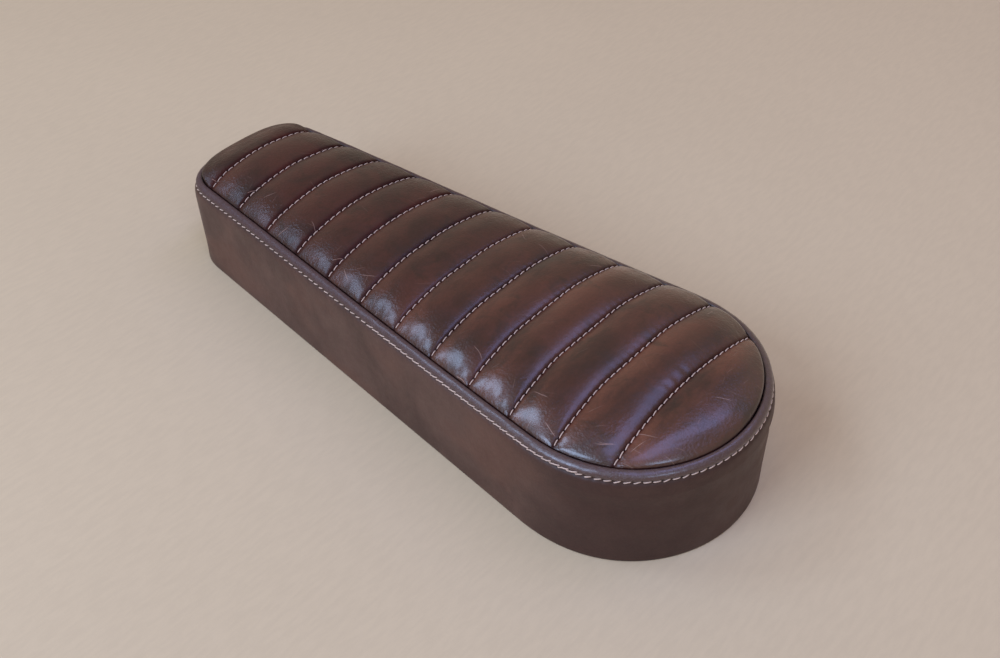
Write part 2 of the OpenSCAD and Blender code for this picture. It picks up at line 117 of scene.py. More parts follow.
# the lamps: place, target, size, and the settings that hold power and colour
LAMPS = (
    ("window_lamp", (-2.15, 0.35, 1.6), (0, 0, 0.05), (1.4, 1.4), "window", "window_tint"),
    ("sky_lamp", (0.85, -0.95, 3.3), (0.85, -0.95, 0), (3.5, 1.1), "skylight", "sky_tint"),
    ("low_lamp", (-0.9, -2.1, 2.0), (0, 0, 0.05), (0.8, 0.8), "low_window", "window_tint"),
    ("ahead_lamp", (-1.3, 2.3, 2.8), (0, 0, 0.05), (1.0, 1.0), "ahead", "window_tint"),
)
FLOOR_HALF = 4.0
CAMERA_AT = (-0.4439, -0.4484, 0.6021)
CAMERA_AHEAD = (0.5413, 0.4950, -0.6798)
CAMERA_ROLL = -1.175  # degrees
CAMERA_LENS = 42.0  # millimetres, and so is the sensor's width
SENSOR_W = 36


# ---------- the outline and the crown ----------


def power(base, exponent):
    """A power of numbers that are taken as 0 where they are negative."""
    return np.power(np.clip(base, 0.0, None), exponent)


def smooth(t):
    """0 up to 0, 1 from 1, and an even S between."""
    t = np.clip(t, 0, 1)
    return t * t * (3 - 2 * t)


def bell(off, width):
    """1 at the middle of a mark and near 0 at twice its width."""
    return np.exp(-((off / width) ** 2))


def run_along(points):
    """Length of a line of points up to each of them."""
    return np.concatenate([[0], np.cumsum(np.linalg.norm(np.diff(points, axis=0), axis=1))])


def half_width(y, off):
    """Half of the seat's width at y, for an outline moved in by off."""
    y = np.asarray(y, float)
    t = np.clip((TAIL_Y - y) / (TAIL_L - off), 0, 1)
    u = 1 - power(t, TAIL_N)
    tail = (TAIL_W - off) * power(u, 1 / TAIL_N) + TAPER * (TAIL_L - off) * t * u
    side = TAIL_W - off - TAPER * (y - TAIL_Y)
    end = np.clip((y - CORNER_Y) / (CORNER_L - off), 0, 1)
    front = side * power(1 - power(end, CORNER_N), 1 / CORNER_N)
    return np.where(y < TAIL_Y, tail, front)


def place(s, off):
    """Points of the outline, moved in by off.

    s runs from 0 at the tail's tip, up the right side to 3 at the front and down the left side to 6.
    """
    s = np.asarray(s, float) % 6
    mirrored = s > 3
    s = np.where(mirrored, 6 - s, s)
    a = np.radians(90 * np.clip(s, 0, 1))
    b = np.radians(90 * np.clip(s - 2, 0, 1))
    back = (TAIL_L - off) * power(np.cos(a), 2 / TAIL_N)
    ahead = (CORNER_L - off) * power(np.sin(b), 2 / CORNER_N)
    straight = TAIL_Y + (s - 1) * (CORNER_Y - TAIL_Y)
    y = np.where(s < 1, TAIL_Y - back, np.where(s < 2, straight, CORNER_Y + ahead))
    x_tail = (TAIL_W - off) * power(np.sin(a), 2 / TAIL_N) + TAPER * back * np.sin(a) ** 2
    x_side = TAIL_W - off - TAPER * (y - TAIL_Y)
    x_front = x_side * power(np.cos(b), 2 / CORNER_N)
    x = np.where(s < 1, x_tail, np.where(s < 2, x_side, x_front))
    return np.stack([np.where(mirrored, -x, x), y], -1)


def even_stations(n):
    """Stations, as values of s, that lie evenly along the closed outline, and its length."""
    s = np.linspace(0, 6, 6001)
    run = run_along(place(s, 0.0))
    return np.interp(np.arange(n) / n * run[-1], run, s), run[-1]


def rise(y):
    """How far the seam rises at y above its height in the middle."""
    return np.where(y < 0, TAIL_RISE, FRONT_RISE) * (2 * y / SEAT_L) ** 2


def end_depth(g, t, n, across, along):
    """Distance in from a rounded end, from the shares g and t of its width and its length."""
    v = power(np.minimum(t, 1), n)
    u = power(g, n) * (1 - v)
    p = power(u + v, 1 / n)
    slope = np.hypot(power(u, (n - 1) / n) / across, power(v, (n - 1) / n) / along)
    return np.where(p < 0.01, along, (1 - p) * power(p, n - 1) / np.maximum(slope, 1e-9))


def inset(x, y, off):
    """Distance in from the outline that is moved in by off, near enough for shapes and marks."""
    w = half_width(y, off)
    x = np.abs(x)
    g = np.where(w > 0, np.minimum(1, x / np.maximum(w, 1e-9)), 1)
    tail_t = np.clip((TAIL_Y - y) / (TAIL_L - off), 0, 1)
    front_t = np.clip((y - CORNER_Y) / (CORNER_L - off), 0, 1)
    front_w = float(half_width(CORNER_Y, off))
    tail = end_depth(g, tail_t, TAIL_N, TAIL_W - off, TAIL_L - off)
    front = end_depth(g, front_t, CORNER_N, front_w, CORNER_L - off)
    side = (w - x) / math.hypot(1, TAPER)
    return np.where(y < TAIL_Y, tail, np.where(y > CORNER_Y, front, side))


def depth(x, y):
    """Distance in from the top seam, with its ridge rounded off at the front."""
    x = np.abs(x)
    rounding = np.hypot(x, RIDGE_R * smooth((y - CORNER_Y) / RIDGE_L + 1)) - x
    x = x + rounding * np.clip(1 - x / np.maximum(half_width(y, SEAM_IN), 1e-9), 0, 1)
    return inset(x, y, SEAM_IN)


def crown(d, y):
    """Height of the leather over the seam: a bulge beside the seam and a broad dome, lower at the front."""
    bulge = 1 - power(1 - np.clip(d / BULGE_IN, 0, 1), BULGE_N)
    dome = 1 - power(1 - np.clip(d / DOME_IN, 0, 1), 2)
    lower = DOME_LOWER * smooth((y - LOWER_FROM) / LOWER_OVER)
    return BULGE_H * bulge + DOME_H * (1 - lower) * dome


def pushed_out(x, y):
    """How much the padding pushes the leather out over the band, from 0 on the left to 1 at the front."""
    return np.maximum(PUSH_RIGHT * smooth((x + 0.02) / 0.05), smooth((y - 0.19) / 0.03))


def puff(d, x, y):
    """Extra height of a pleat beside the seam, where it is pushed out."""
    t = np.clip(d / BULGE_IN, 0, 1)
    square = power(1 - power(1 - t, PUFF_N), 1 / PUFF_N)
    return BULGE_H * (square - 1 + power(1 - t, BULGE_N)) * pushed_out(x, y)


def lean_out(x, y, d):
    """How far each point of the leather moves out over the band, along x and y."""
    slope_x = (depth(x + SLOPE_STEP, y) - depth(x - SLOPE_STEP, y)) / (2 * SLOPE_STEP)
    slope_y = (depth(x, y + SLOPE_STEP) - depth(x, y - SLOPE_STEP)) / (2 * SLOPE_STEP)
    size = np.maximum(np.hypot(slope_x, slope_y), 1e-6)
    t = np.clip(d / LEAN_IN, 0, 1)
    out = LEAN * LEAN_PEAK * t * (1 - t) ** 2 * pushed_out(x, y)
    return -out * slope_x / size, -out * slope_y / size


def seam_drop(y):
    """How far the seam and the band lie below their level at the front."""
    return FRONT_DROP * smooth((y - 0.13) / 0.11)


def under_crown(d):
    """Height over the seam of the layers under the quilting."""
    return UNDER_H * (1 - power(1 - np.clip(d / UNDER_IN, 0, 1), UNDER_N))


def bow(x, y):
    """How far a line of stitches bows ahead of its ends, more so at the tail."""
    return (BOW + BOW_TAIL * smooth((-0.03 - y) / 0.09)) * smooth(depth(x, y) / BOW_IN)


def line_gap(y):
    """Distance from y to the nearest line of stitches, negative where the line lies ahead."""
    k = np.clip(np.round((FIRST_LINE - y) / PITCH), 0, LINES - 1)
    return y - (FIRST_LINE - k * PITCH)


def lattice_noise(p, cell, seed):
    """Smooth noise from -1 to 1 at points p, with bumps about as large as cell."""
    q = np.asarray(p, float) / cell
    base = np.floor(q).astype(np.int64)
    f = q - base
    f = f * f * f * (f * (6 * f - 15) + 10)
    total = np.zeros(q.shape[:-1])
    dims = q.shape[-1]
    # each corner of a cell has its own number, scrambled from where it lies with large primes
    for corner in range(2**dims):
        weight = np.ones(q.shape[:-1])
        key = np.full(q.shape[:-1], seed * 7919 + 17, np.int64)
        for i in range(dims):
            bit = (corner >> i) & 1
            weight = weight * (f[..., i] if bit else 1 - f[..., i])
            key = (key * 73856093) ^ ((base[..., i] + bit) * (19349663 + 83492791 * i))
        key = (key ^ (key >> 13)) * 1274126177
        key = (key ^ (key >> 16)) & 0xFFFFFF
        total = total + weight * (key / float(0xFFFFFF) * 2 - 1)
    return total


# ---------- meshes ----------


def new_object(name, points, faces):
    """A mesh object in the scene."""
    mesh = bpy.data.meshes.new(name)
    mesh.from_pydata([tuple(p) for p in np.asarray(points, float)], [], [list(map(int, f)) for f in faces])
    mesh.validate()
    return linked(name, mesh)


def linked(name, data):
    """A new object in the scene."""
    obj = bpy.data.objects.new(name, data)
    bpy.context.scene.collection.objects.link(obj)
    return obj


def discard(obj):
    """Removes an object and its mesh."""
    mesh = obj.data
    bpy.data.objects.remove(obj)
    bpy.data.meshes.remove(mesh)


@contextmanager
def edited(mesh):
    """The mesh, open for changes that are kept at the end."""
    bm = bmesh.new()
    bm.from_mesh(mesh)
    yield bm
    bm.to_mesh(mesh)
    bm.free()


def evaluated(obj):
    """The object as its modifiers leave it."""
    return obj.evaluated_get(bpy.context.evaluated_depsgraph_get())


def places_of(mesh):
    """Places of a mesh's points, one to a row."""
    p = np.zeros(len(mesh.vertices) * 3)
    mesh.vertices.foreach_get("co", p)
    return p.reshape(-1, 3)


def face_outwards(obj, merge=1e-6):
    """Merges doubled points and turns all faces outwards."""
    with edited(obj.data) as bm:
        bmesh.ops.remove_doubles(bm, verts=bm.verts, dist=merge)
        bmesh.ops.recalc_face_normals(bm, faces=bm.faces)


def shade(obj, material):
    """Gives a smooth object its one material."""
    obj.data.polygons.foreach_set("use_smooth", [True] * len(obj.data.polygons))
    obj.data.materials.clear()
    obj.data.materials.append(material)
    obj.data.update()


def shade_by_angle(obj, degrees):
    """Smooth faces that meet in a crisp edge where they turn by more than the angle."""
    obj.data.polygons.foreach_set("use_smooth", [True] * len(obj.data.polygons))
    with edited(obj.data) as bm:
        for edge in bm.edges:
            edge.smooth = not edge.is_manifold or edge.calc_face_angle(0) < math.radians(degrees)


def store(obj, name, values):
    """Keeps one number or vector for each point, for a material or a tree to read."""
    values = np.asarray(values, np.float32)
    kind, field = ("FLOAT", "value") if values.ndim == 1 else ("FLOAT_VECTOR", "vector")
    obj.data.attributes.new(name, kind, "POINT").data.foreach_set(field, values.ravel())


def grid_quads(rows, columns, wrap=False):
    """Faces of a sheet of points, numbered row by row. A wrapped sheet closes round its columns."""
    i, j = np.meshgrid(np.arange(rows - 1), np.arange(columns if wrap else columns - 1), indexing="ij")
    a = i * columns + j
    b = i * columns + (j + 1) % columns
    return np.stack([a, b, b + columns, a + columns], -1).reshape(-1, 4)


def ring_faces(upper, lower):
    """Faces between two closed rows of points."""
    return [list(f) for f in zip(upper, np.roll(upper, -1), np.roll(lower, -1), lower)]


def finish_piece(obj, node):
    """Sets a piece in the place of its CAD node."""
    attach(obj, "root")
    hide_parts(node)


def cubic_weights(known, wanted):
    """Weights that carry values at the known places over to the wanted ones along a smooth curve."""
    known = np.asarray(known, float)
    wanted = np.asarray(wanted, float)
    n = len(known)
    i = np.clip(np.searchsorted(known, wanted, side="right") - 1, 0, n - 2)
    width = known[i + 1] - known[i]
    t = (wanted - known[i]) / width
    table = np.zeros((len(wanted), n))
    rows = np.arange(len(wanted))
    table[rows, i] += 2 * t**3 - 3 * t**2 + 1
    table[rows, i + 1] += -2 * t**3 + 3 * t**2
    for at, curve in ((i, t**3 - 2 * t**2 + t), (i + 1, t**3 - t**2)):
        low = np.maximum(at - 1, 0)
        high = np.minimum(at + 1, n - 1)
        slope = curve * width / (known[high] - known[low])
        np.add.at(table, (rows, high), slope)
        np.add.at(table, (rows, low), -slope)
    return table


# ---------- finishes ----------


def srgb(r, g, b):
    """A colour as Blender keeps it, from its three numbers up to 255 as a screen shows them."""
    def linear(c):
        c /= 255
        return c / 12.92 if c <= 0.04045 else ((c + 0.055) / 1.055) ** 2.4

    return (linear(r), linear(g), linear(b), 1.0)


def tinted(colour, factor):
    """The colour, lighter or darker by a factor."""
    return tuple(min(1.0, c * factor) for c in colour[:3]) + (1.0,)


class Nodes:
    """Adds nodes to a tree and joins them. Most methods give back a node's output."""

    def __init__(self, tree):
        self.tree = tree

    def join(self, source, target):
        """Links an output to an input, or sets the input where the source is a plain value."""
        if isinstance(source, bpy.types.NodeSocket):
            self.tree.links.new(source, target)
        else:
            target.default_value = source

    def node(self, kind, inputs=None, **settings):
        """A node with its settings and with its inputs, by name or number, joined to sources."""
        made = self.tree.nodes.new(kind)
        for key, value in settings.items():
            setattr(made, key, value)
        for key, source in (inputs or {}).items():
            self.join(source, made.inputs[key])
        return made

    def out(self, kind, inputs=None, output=0, **settings):
        """One output of a new node."""
        return self.node(kind, inputs, **settings).outputs[output]

    def number(self, operation, a, b=0.5):
        """The result of a sum on two values."""
        return self.out("ShaderNodeMath", {0: a, 1: b}, operation=operation)

    def times(self, a, b):
        """Two values multiplied."""
        return self.number("MULTIPLY", a, b)

    def vector(self, **parts):
        """A vector of its X, Y and Z."""
        return self.out("ShaderNodeCombineXYZ", parts)


class Finish(Nodes):
    """A material under construction. Sizes are in metres."""

    def __init__(self, name):
        self.material = bpy.data.materials.new(name)
        self.material.use_nodes = True
        super().__init__(self.material.node_tree)
        self.tree.nodes.clear()
        self.shader = self.node("ShaderNodeBsdfPrincipled")
        self.node("ShaderNodeOutputMaterial", {"Surface": self.shader.outputs["BSDF"]})
        self.place = self.out("ShaderNodeTexCoord", output="Object")

    def made(self, **looks):
        """The material, once its shader's inputs are joined, named with an underscore for each space."""
        for name, source in looks.items():
            self.join(source, self.shader.inputs[name.replace("_", " ")])
        return self.material

    def turned(self, stretch, turn=0):
        """The place on the object, turned by degrees about the upright axis and then stretched."""
        turn = (0, 0, math.radians(turn))
        return self.out("ShaderNodeMapping", {"Vector": self.place, "Scale": stretch, "Rotation": turn})

    def noise(self, size, detail=3.0, roughness=0.55, at=None, warp=0.0):
        """Clouds of that size, with finer ones in them as detail and roughness say."""
        return self.out("ShaderNodeTexNoise", {
            "Vector": at or self.place, "Scale": 1 / size, "Detail": detail, "Roughness": roughness,
            "Distortion": warp,
        })

    def cells(self, size, feature="SMOOTH_F1"):
        """Distance from the middles of cells of that size."""
        return self.out("ShaderNodeTexVoronoi", {"Vector": self.place, "Scale": 1 / size}, "Distance",
                        feature=feature)

    def attribute(self, name):
        """A number that is stored on the mesh."""
        return self.out("ShaderNodeAttribute", output="Fac", attribute_name=name)

    def span(self, value, low, high, to_low=0.0, to_high=1.0):
        """Value taken from the range low to high over to another, and kept inside it."""
        return self.out("ShaderNodeMapRange", {
            "Value": value, "From Min": low, "From Max": high, "To Min": to_low, "To Max": to_high,
        }, interpolation_type="SMOOTHSTEP")

    def ridge(self, value, width):
        """1 along the lines where value passes its middle, and 0 beyond width of them."""
        off = self.number("ABSOLUTE", self.number("SUBTRACT", value, 0.5))
        return self.span(off, 0.0, width, 1.0, 0.0)

    def strokes(self, cell, long, wide, share, turn, spread):
        """Short bent scratches in a share of the cells: 1 on them and 0 off them."""
        bend = {"Vector": self.place, "Scale": 0.6 / long, "Detail": 1}
        bend = self.out("ShaderNodeTexNoise", bend, "Color")
        wavy = self.out("ShaderNodeVectorMath", {0: bend, "Scale": 0.5 * long}, operation="SCALE")
        bent = self.out("ShaderNodeVectorMath", {0: self.place, 1: wavy})
        cells = self.node("ShaderNodeTexVoronoi", {"Scale": 1 / cell, "Vector": bent}).outputs
        off = self.out("ShaderNodeVectorMath", {0: bent, 1: cells["Position"]}, operation="SUBTRACT")
        chance = self.node("ShaderNodeSeparateColor", {0: cells["Color"]}).outputs
        angle = self.times(self.number("SUBTRACT", chance[0], 0.5), math.radians(spread))
        angle = self.number("ADD", angle, math.radians(turn))
        along = self.out("ShaderNodeVectorRotate", {"Vector": off, "Angle": angle}, rotation_type="Z_AXIS")
        part = self.node("ShaderNodeSeparateXYZ", {0: along}).outputs
        mark = self.times(self.span(self.number("ABSOLUTE", part["X"]), 0.2 * long, 0.5 * long, 1.0, 0.0),
                          self.span(self.number("ABSOLUTE", part["Y"]), 0.3 * wide, 0.5 * wide, 1.0, 0.0))
        return self.times(mark, self.span(chance[1], 1 - share, 1.01 - share))

    def blend(self, share, a, b, mode="MIX"):
        """Colour a with that share of b."""
        inputs = {0: share, 6: a, 7: b}
        return self.out("ShaderNodeMix", inputs, 2, data_type="RGBA", blend_type=mode)

    def shaded(self, body, value):
        """The colour, lighter or darker by a value that varies from place to place."""
        grey = self.out("ShaderNodeCombineColor", {channel: value for channel in range(3)})
        return self.blend(1.0, body, grey, "MULTIPLY")

    def relief(self, height, deep, under=None):
        """Bumps of that depth, over others if there are any."""
        over = {} if under is None else {"Normal": under}
        return self.out("ShaderNodeBump", {"Strength": 1.0, "Distance": deep, "Height": height, **over})

    def leather_grain(self, pebble):
        """Pebbles of that size with pores between them."""
        pebbles = self.times(self.cells(pebble), 0.7)
        return self.number("ADD", pebbles, self.times(self.noise(0.0007, 2, 0.6), 0.3))


def top_leather(look):
    """Waxed brown leather of the pleats: mottled, warm behind each line, and darker beside each line and at
    the seam, as burnished leather with painted shade in the grooves.
    """
    f = Finish("waxed_pleat_leather")
    cloud = f.span(f.noise(0.055, 5, 0.62, warp=0.4), 0.36, 0.66)
    body = f.blend(cloud, look.leather_dark, look.leather_mid)
    streak = f.span(f.noise(0.03, 4, 0.6, at=f.turned((0.35, 1, 1))), 0.32, 0.62)
    # warmer, lighter stretch just behind each line, more so toward the tail
    body = f.blend(f.times(f.attribute("warm"), streak), body, look.leather_warm)
    smudge = f.span(f.noise(0.02, 4, 0.65, warp=0.8), 0.5, 0.72, 0.0, 0.55)
    body = f.blend(smudge, body, look.leather_burnt_and_shade)
    # darker beside each line and at the seam: burnished leather with painted shade in the grooves
    body = f.blend(f.attribute("burnish"), body, look.leather_burnt_and_shade)

    creased = f.attribute("crease")
    fine = f.strokes(cell=0.009, long=0.009, wide=0.0004, share=0.25, turn=20, spread=150)
    bold = f.strokes(cell=0.018, long=0.013, wide=0.0005, share=0.22, turn=60, spread=120)
    scratches = f.number("MAXIMUM", f.times(fine, f.span(creased, 0.1, 0.9, 0.0, 0.35)),
                         f.times(bold, f.span(creased, 0.0, 0.8, 0.12, 0.8)))
    body = f.blend(scratches, body, look.leather_scuff)
    body = f.shaded(body, f.span(f.noise(0.0022, 3, 0.7), 0.3, 0.7, 0.86, 1.1))

    crinkle = f.ridge(f.noise(0.006, 3, 0.6, at=f.turned((0.6, 1, 1), 20), warp=0.7), 0.1)
    crinkle = f.times(crinkle, f.span(creased, 0.05, 0.9, 0.1, 1.0))
    lumps = f.relief(f.noise(0.009, 2, 0.5), 0.00022)
    lumps = f.relief(crinkle, -0.00006, lumps)
    lumps = f.relief(scratches, -0.00005, lumps)
    grain = f.times(f.leather_grain(0.0016), f.span(creased, 0.0, 1.0, 0.6, 2.2))
    dull = f.attribute("dull")
    rough = f.number("ADD", f.span(f.noise(0.01, 4, 0.6), 0.3, 0.7, 0.29, 0.39), f.times(dull, 0.2))
    return f.made(
        Base_Color=body, Roughness=rough, Normal=f.relief(grain, 0.0002, lumps),
        Specular_IOR_Level=f.span(dull, 0.0, 1.0, 0.5, 0.03),
        Coat_Weight=f.attribute("polish"), Coat_Roughness=0.2,
    )


def side_leather(look):
    """Duller leather of the side, with soft clouds and a tight band above its row of stitches. The band is
    painted lighter and bluer as its sheen, the side is painted darker toward the tail as shade, and painted
    shade lies beside the stitches and inside the seam.
    """
    f = Finish("satin_side_leather")
    band, polish = f.attribute("band"), f.attribute("polish")
    cloud = f.span(f.noise(0.05, 5, 0.62, warp=0.5), 0.34, 0.66)
    body = f.blend(cloud, look.side_dark, look.side_mid)
    red = f.span(f.noise(0.07, 3, 0.5, at=f.turned((1, 1, 1.7))), 0.45, 0.7, 0.0, 0.55)
    body = f.blend(red, body, look.side_warm)
    # painted shade: the side grows darker toward the tail, where less light falls on it
    body = f.blend(f.times(f.attribute("tail"), 0.6), body, look.leather_dark)
    # painted sheen: the band is lighter and bluer than the side, standing for its bluish highlight
    body = f.blend(band, body, look.side_band_sheen)
    # painted shade beside the row of stitches and inside the seam
    body = f.blend(f.attribute("burnish"), body, look.leather_burnt_and_shade)
    body = f.shaded(body, f.span(f.noise(0.002, 3, 0.7), 0.3, 0.7, 0.88, 1.08))

    crinkle = f.times(f.ridge(f.noise(0.0032, 3, 0.6, warp=0.6), 0.14), band)
    lumps = f.relief(crinkle, -0.00022, f.relief(f.noise(0.014, 3, 0.5), 0.0003))
    rough = f.span(f.noise(0.012, 4, 0.6), 0.3, 0.7, 0.44, 0.54)
    return f.made(
        Base_Color=body, Roughness=f.number("SUBTRACT", rough, f.times(polish, 0.14)),
        Normal=f.relief(f.leather_grain(0.0015), 0.00007, lumps), Specular_IOR_Level=0.5,
        Coat_Weight=polish, Coat_Roughness=0.28,
    )


def thread_finish(look):
    """Waxed polyester thread with its twist, painted darker in the twist's grooves as their shade."""
    f = Finish("waxed_thread")
    twist = f.noise(0.0006, 1, 0.5, at=f.turned((1, 1, 1), 45))
    body = f.blend(f.span(f.noise(0.02, 2), 0.35, 0.65), tinted(look.thread, 0.86), look.thread)
    # painted shade: darker in the grooves of the twist
    body = f.blend(f.span(twist, 0.4, 0.6, 0.35, 0.0), body, tinted(look.thread, 0.5))
    return f.made(Base_Color=body, Normal=f.relief(twist, 0.00012), Roughness=0.62, Sheen_Weight=0.2)


def hole_shade_finish():
    """Painted shade of a needle hole: a near-black finish for the flat disc that stands for the hole's dark
    inside.
    """
    f = Finish("needle_hole")
    body = f.blend(f.noise(0.0006), (0.008, 0.005, 0.004, 1), (0.02, 0.012, 0.01, 1))
    return f.made(Base_Color=body, Roughness=0.8)


def painted_steel(look):
    """Black stove paint over pressed steel, worn thin in places and dusty in clouds."""
    f = Finish("black_stove_paint")
    wear = f.span(f.noise(0.006, 6, 0.7), 0.66, 0.74)
    dust = f.span(f.noise(0.05, 4, 0.6), 0.35, 0.75, 0.0, 0.3)
    body = f.blend(dust, look.paint, tinted(look.paint, 2.6))
    orange_peel = f.relief(f.noise(0.0018, 2, 0.5), 0.00006)
    return f.made(
        Base_Color=f.blend(wear, body, srgb(122, 118, 112)), Metallic=f.times(wear, 0.8),
        Roughness=f.span(f.noise(0.03, 4), 0.3, 0.7, 0.34, 0.5), Normal=f.relief(wear, -0.00005, orange_peel),
    )


def zinc_plate(name, colour):
    """Zinc plating with its cloudy spangle and fine scratches."""
    f = Finish(name)
    body = f.blend(f.span(f.noise(0.012, 4, 0.6), 0.3, 0.7), tinted(colour, 0.72), tinted(colour, 1))
    scratch = f.ridge(f.noise(0.008, 2, at=f.turned((0.12, 1, 1), 20)), 0.01)
    return f.made(
        Base_Color=f.blend(f.times(scratch, 0.4), body, tinted(colour, 0.45)), Metallic=1.0,
        Roughness=f.span(f.noise(0.004, 3), 0.3, 0.7, 0.26, 0.42),
        Normal=f.relief(scratch, -0.00003, f.relief(f.noise(0.001, 2), 0.00002)),
    )


def rubber_finish(look):
    """Moulded rubber with a fine bloom."""
    f = Finish("moulded_rubber")
    bloom = f.span(f.noise(0.015, 4, 0.6), 0.35, 0.75, 0.0, 0.5)
    return f.made(
        Base_Color=f.blend(bloom, look.rubber, tinted(look.rubber, 2.4)),
        Roughness=f.span(f.noise(0.006, 3), 0.3, 0.7, 0.6, 0.78),
        Normal=f.relief(f.noise(0.0009, 3, 0.6), 0.00008),
    )


def foam_finish(name, colour, cell):
    """Open foam with cells of that size, painted darker in the cells' hollows as their shade."""
    f = Finish(name)
    pores = f.cells(cell, "F1")
    body = f.blend(f.span(f.noise(0.06, 3), 0.35, 0.65), tinted(colour, 0.88), colour)
    # painted shade: darker in the hollows of the cells
    body = f.blend(f.span(pores, 0.1, 0.6, 0.6, 0.0), body, tinted(colour, 0.5))
    lumps = f.relief(f.noise(0.012, 3), 0.0004)
    return f.made(Base_Color=body, Roughness=0.9, Normal=f.relief(pores, 0.0006, lumps))


def woven_finish(name, colour, pitch):
    """Plain woven cloth with threads that far apart, painted darker between the threads as their shade."""
    f = Finish(name)
    waves = {"Vector": f.place, "Scale": 0.314 / pitch, "Distortion": 0.6}
    across, along = (f.out("ShaderNodeTexWave", waves, "Fac", bands_direction=axis) for axis in "XY")
    weave = f.number("MAXIMUM", across, along)
    # painted shade: darker in the gaps between the threads
    body = f.shaded(f.blend(weave, tinted(colour, 0.55), colour),
                    f.span(f.noise(0.05, 3), 0.35, 0.65, 0.85, 1.0))
    return f.made(Base_Color=body, Roughness=0.85, Sheen_Weight=0.25, Normal=f.relief(weave, 0.00015))


def film_finish(look):
    """Milky plastic film with small wrinkles."""
    f = Finish("moisture_film")
    return f.made(
        Base_Color=f.blend(f.span(f.noise(0.02, 4), 0.3, 0.7), tinted(look.film, 0.8), look.film),
        Roughness=f.span(f.noise(0.01, 3), 0.3, 0.7, 0.2, 0.35),
        Normal=f.relief(f.ridge(f.noise(0.01, 3, warp=0.8), 0.08), 0.00012),
    )


def floor_finish(look):
    """Pale board with faint fibres."""
    f = Finish("pale_floor")
    fibre = f.span(f.noise(0.004, 3, 0.6, at=f.turned((0.25, 1, 1), 12)), 0.3, 0.7, 0.975, 1.02)
    cloud = f.span(f.noise(0.35, 3), 0.3, 0.7, 0.985, 1.015)
    return f.made(
        Base_Color=f.shaded(look.floor, f.times(fibre, cloud)), Roughness=0.8,
        Normal=f.relief(f.noise(0.003, 3), 0.00006),
    )


# ---------- what a user would change ----------


def length(name, description, default, low, high):
    """A size in metres, with the least and the most that it may be."""
    return bpy.props.FloatProperty(
        name=name, description=description, default=default, min=low, max=high, precision=5, unit="LENGTH"
    )


def amount(name, description, default, high=1.0):
    """A setting from nought up to high."""
    return bpy.props.FloatProperty(
        name=name, description=description, default=default, min=0, max=high, subtype="FACTOR"
    )


def tint(name, description, default):
    """A colour setting."""
    return bpy.props.FloatVectorProperty(
        name=name, description=description, default=default, size=4, min=0, max=1, subtype="COLOR"
    )


def power_of(name, description, default):
    """A lamp's power in watts."""
    return bpy.props.FloatProperty(name=name, description=description, default=default, min=0, unit="POWER")


class SeatSewing(bpy.types.PropertyGroup):
    pitch: length("Stitch pitch", "From one needle hole to the next", 0.006, 0.003, 0.012)
    stitch: length("Stitch length", "Length of thread that shows", 0.0046, 0.002, 0.01)
    thread: length("Thread radius", "Radius of the thread", 0.00038, 0.0002, 0.001)
    pucker: length("Pucker", "How deep each needle hole pulls the leather in", 0.0003, 0, 0.001)
    swell: length("Swell", "Height of a pleat over its stitches", 0.0035, 0.001, 0.006)
    simulated: amount("Simulated share", "Share of the pleats' shape that is simulated as cloth", 0.5)
    crease: length("Crease", "Depth of the creases at the ends of the pleats", 0.00013, 0, 0.001)
    wall_wave: length("Side waves", "Depth of the slow waves in the side", 0.0006, 0, 0.003)
    roll: length("Seam roll", "How far the top's edge turns down at the seam", 0.0003, 0, 0.003)


class SeatColours(bpy.types.PropertyGroup):
    # also painted as shade over the side toward the tail
    leather_dark: tint("Pleat leather, dark", "Darker clouds of the pleats", srgb(45, 19, 18))
    leather_mid: tint("Pleat leather, middle", "Lighter clouds of the pleats", srgb(70, 31, 26))
    # warm: a warmer, lighter stretch of the pleats just behind each line
    leather_warm: tint("Pleat leather, warm", "Worn stretch behind each line", srgb(108, 58, 42))
    # dark smudges of the leather, and the painted shade beside stitches and seams
    leather_burnt_and_shade: tint("Burnished leather", "Beside stitches and seams", srgb(36, 20, 17))
    leather_scuff: tint("Scuffs", "Fine scratches in the wax", srgb(152, 118, 106))
    side_dark: tint("Side leather, dark", "Darker clouds of the side", srgb(71, 46, 39))
    side_mid: tint("Side leather, middle", "Lighter clouds of the side", srgb(90, 63, 54))
    side_warm: tint("Side leather, warm", "Redder stretches of the side", srgb(98, 62, 50))
    # painted sheen: lighter and bluer than the side, standing for the band's bluish highlight
    side_band_sheen: tint("Band", "Tight band between the seam and the stitches", srgb(76, 51, 52))
    thread: tint("Thread", "Stitches that show", srgb(222, 194, 178))
    paint: tint("Pan paint", "Paint of the pan", srgb(26, 26, 28))
    zinc: tint("Zinc", "Plating of straps, studs, screws and rivets", srgb(196, 196, 198))
    brass: tint("Yellow zinc", "Plating of the nuts, over the zinc", srgb(198, 178, 122))
    rubber: tint("Rubber", "Buffers and edge trim", srgb(24, 24, 24))
    firm_foam: tint("Firm foam", "Base foam", srgb(226, 216, 180))
    soft_foam: tint("Soft foam", "Foam under the pleats", srgb(232, 214, 130))
    padding: tint("Padding", "Quilted padding of the pleats and the side's liner", srgb(196, 196, 192))
    lining: tint("Cloth", "Backing cloth and stay tape", srgb(222, 220, 210))
    film: tint("Film", "Moisture film", srgb(206, 214, 222))
    floor: tint("Floor", "Pale floor", srgb(211, 190, 158))


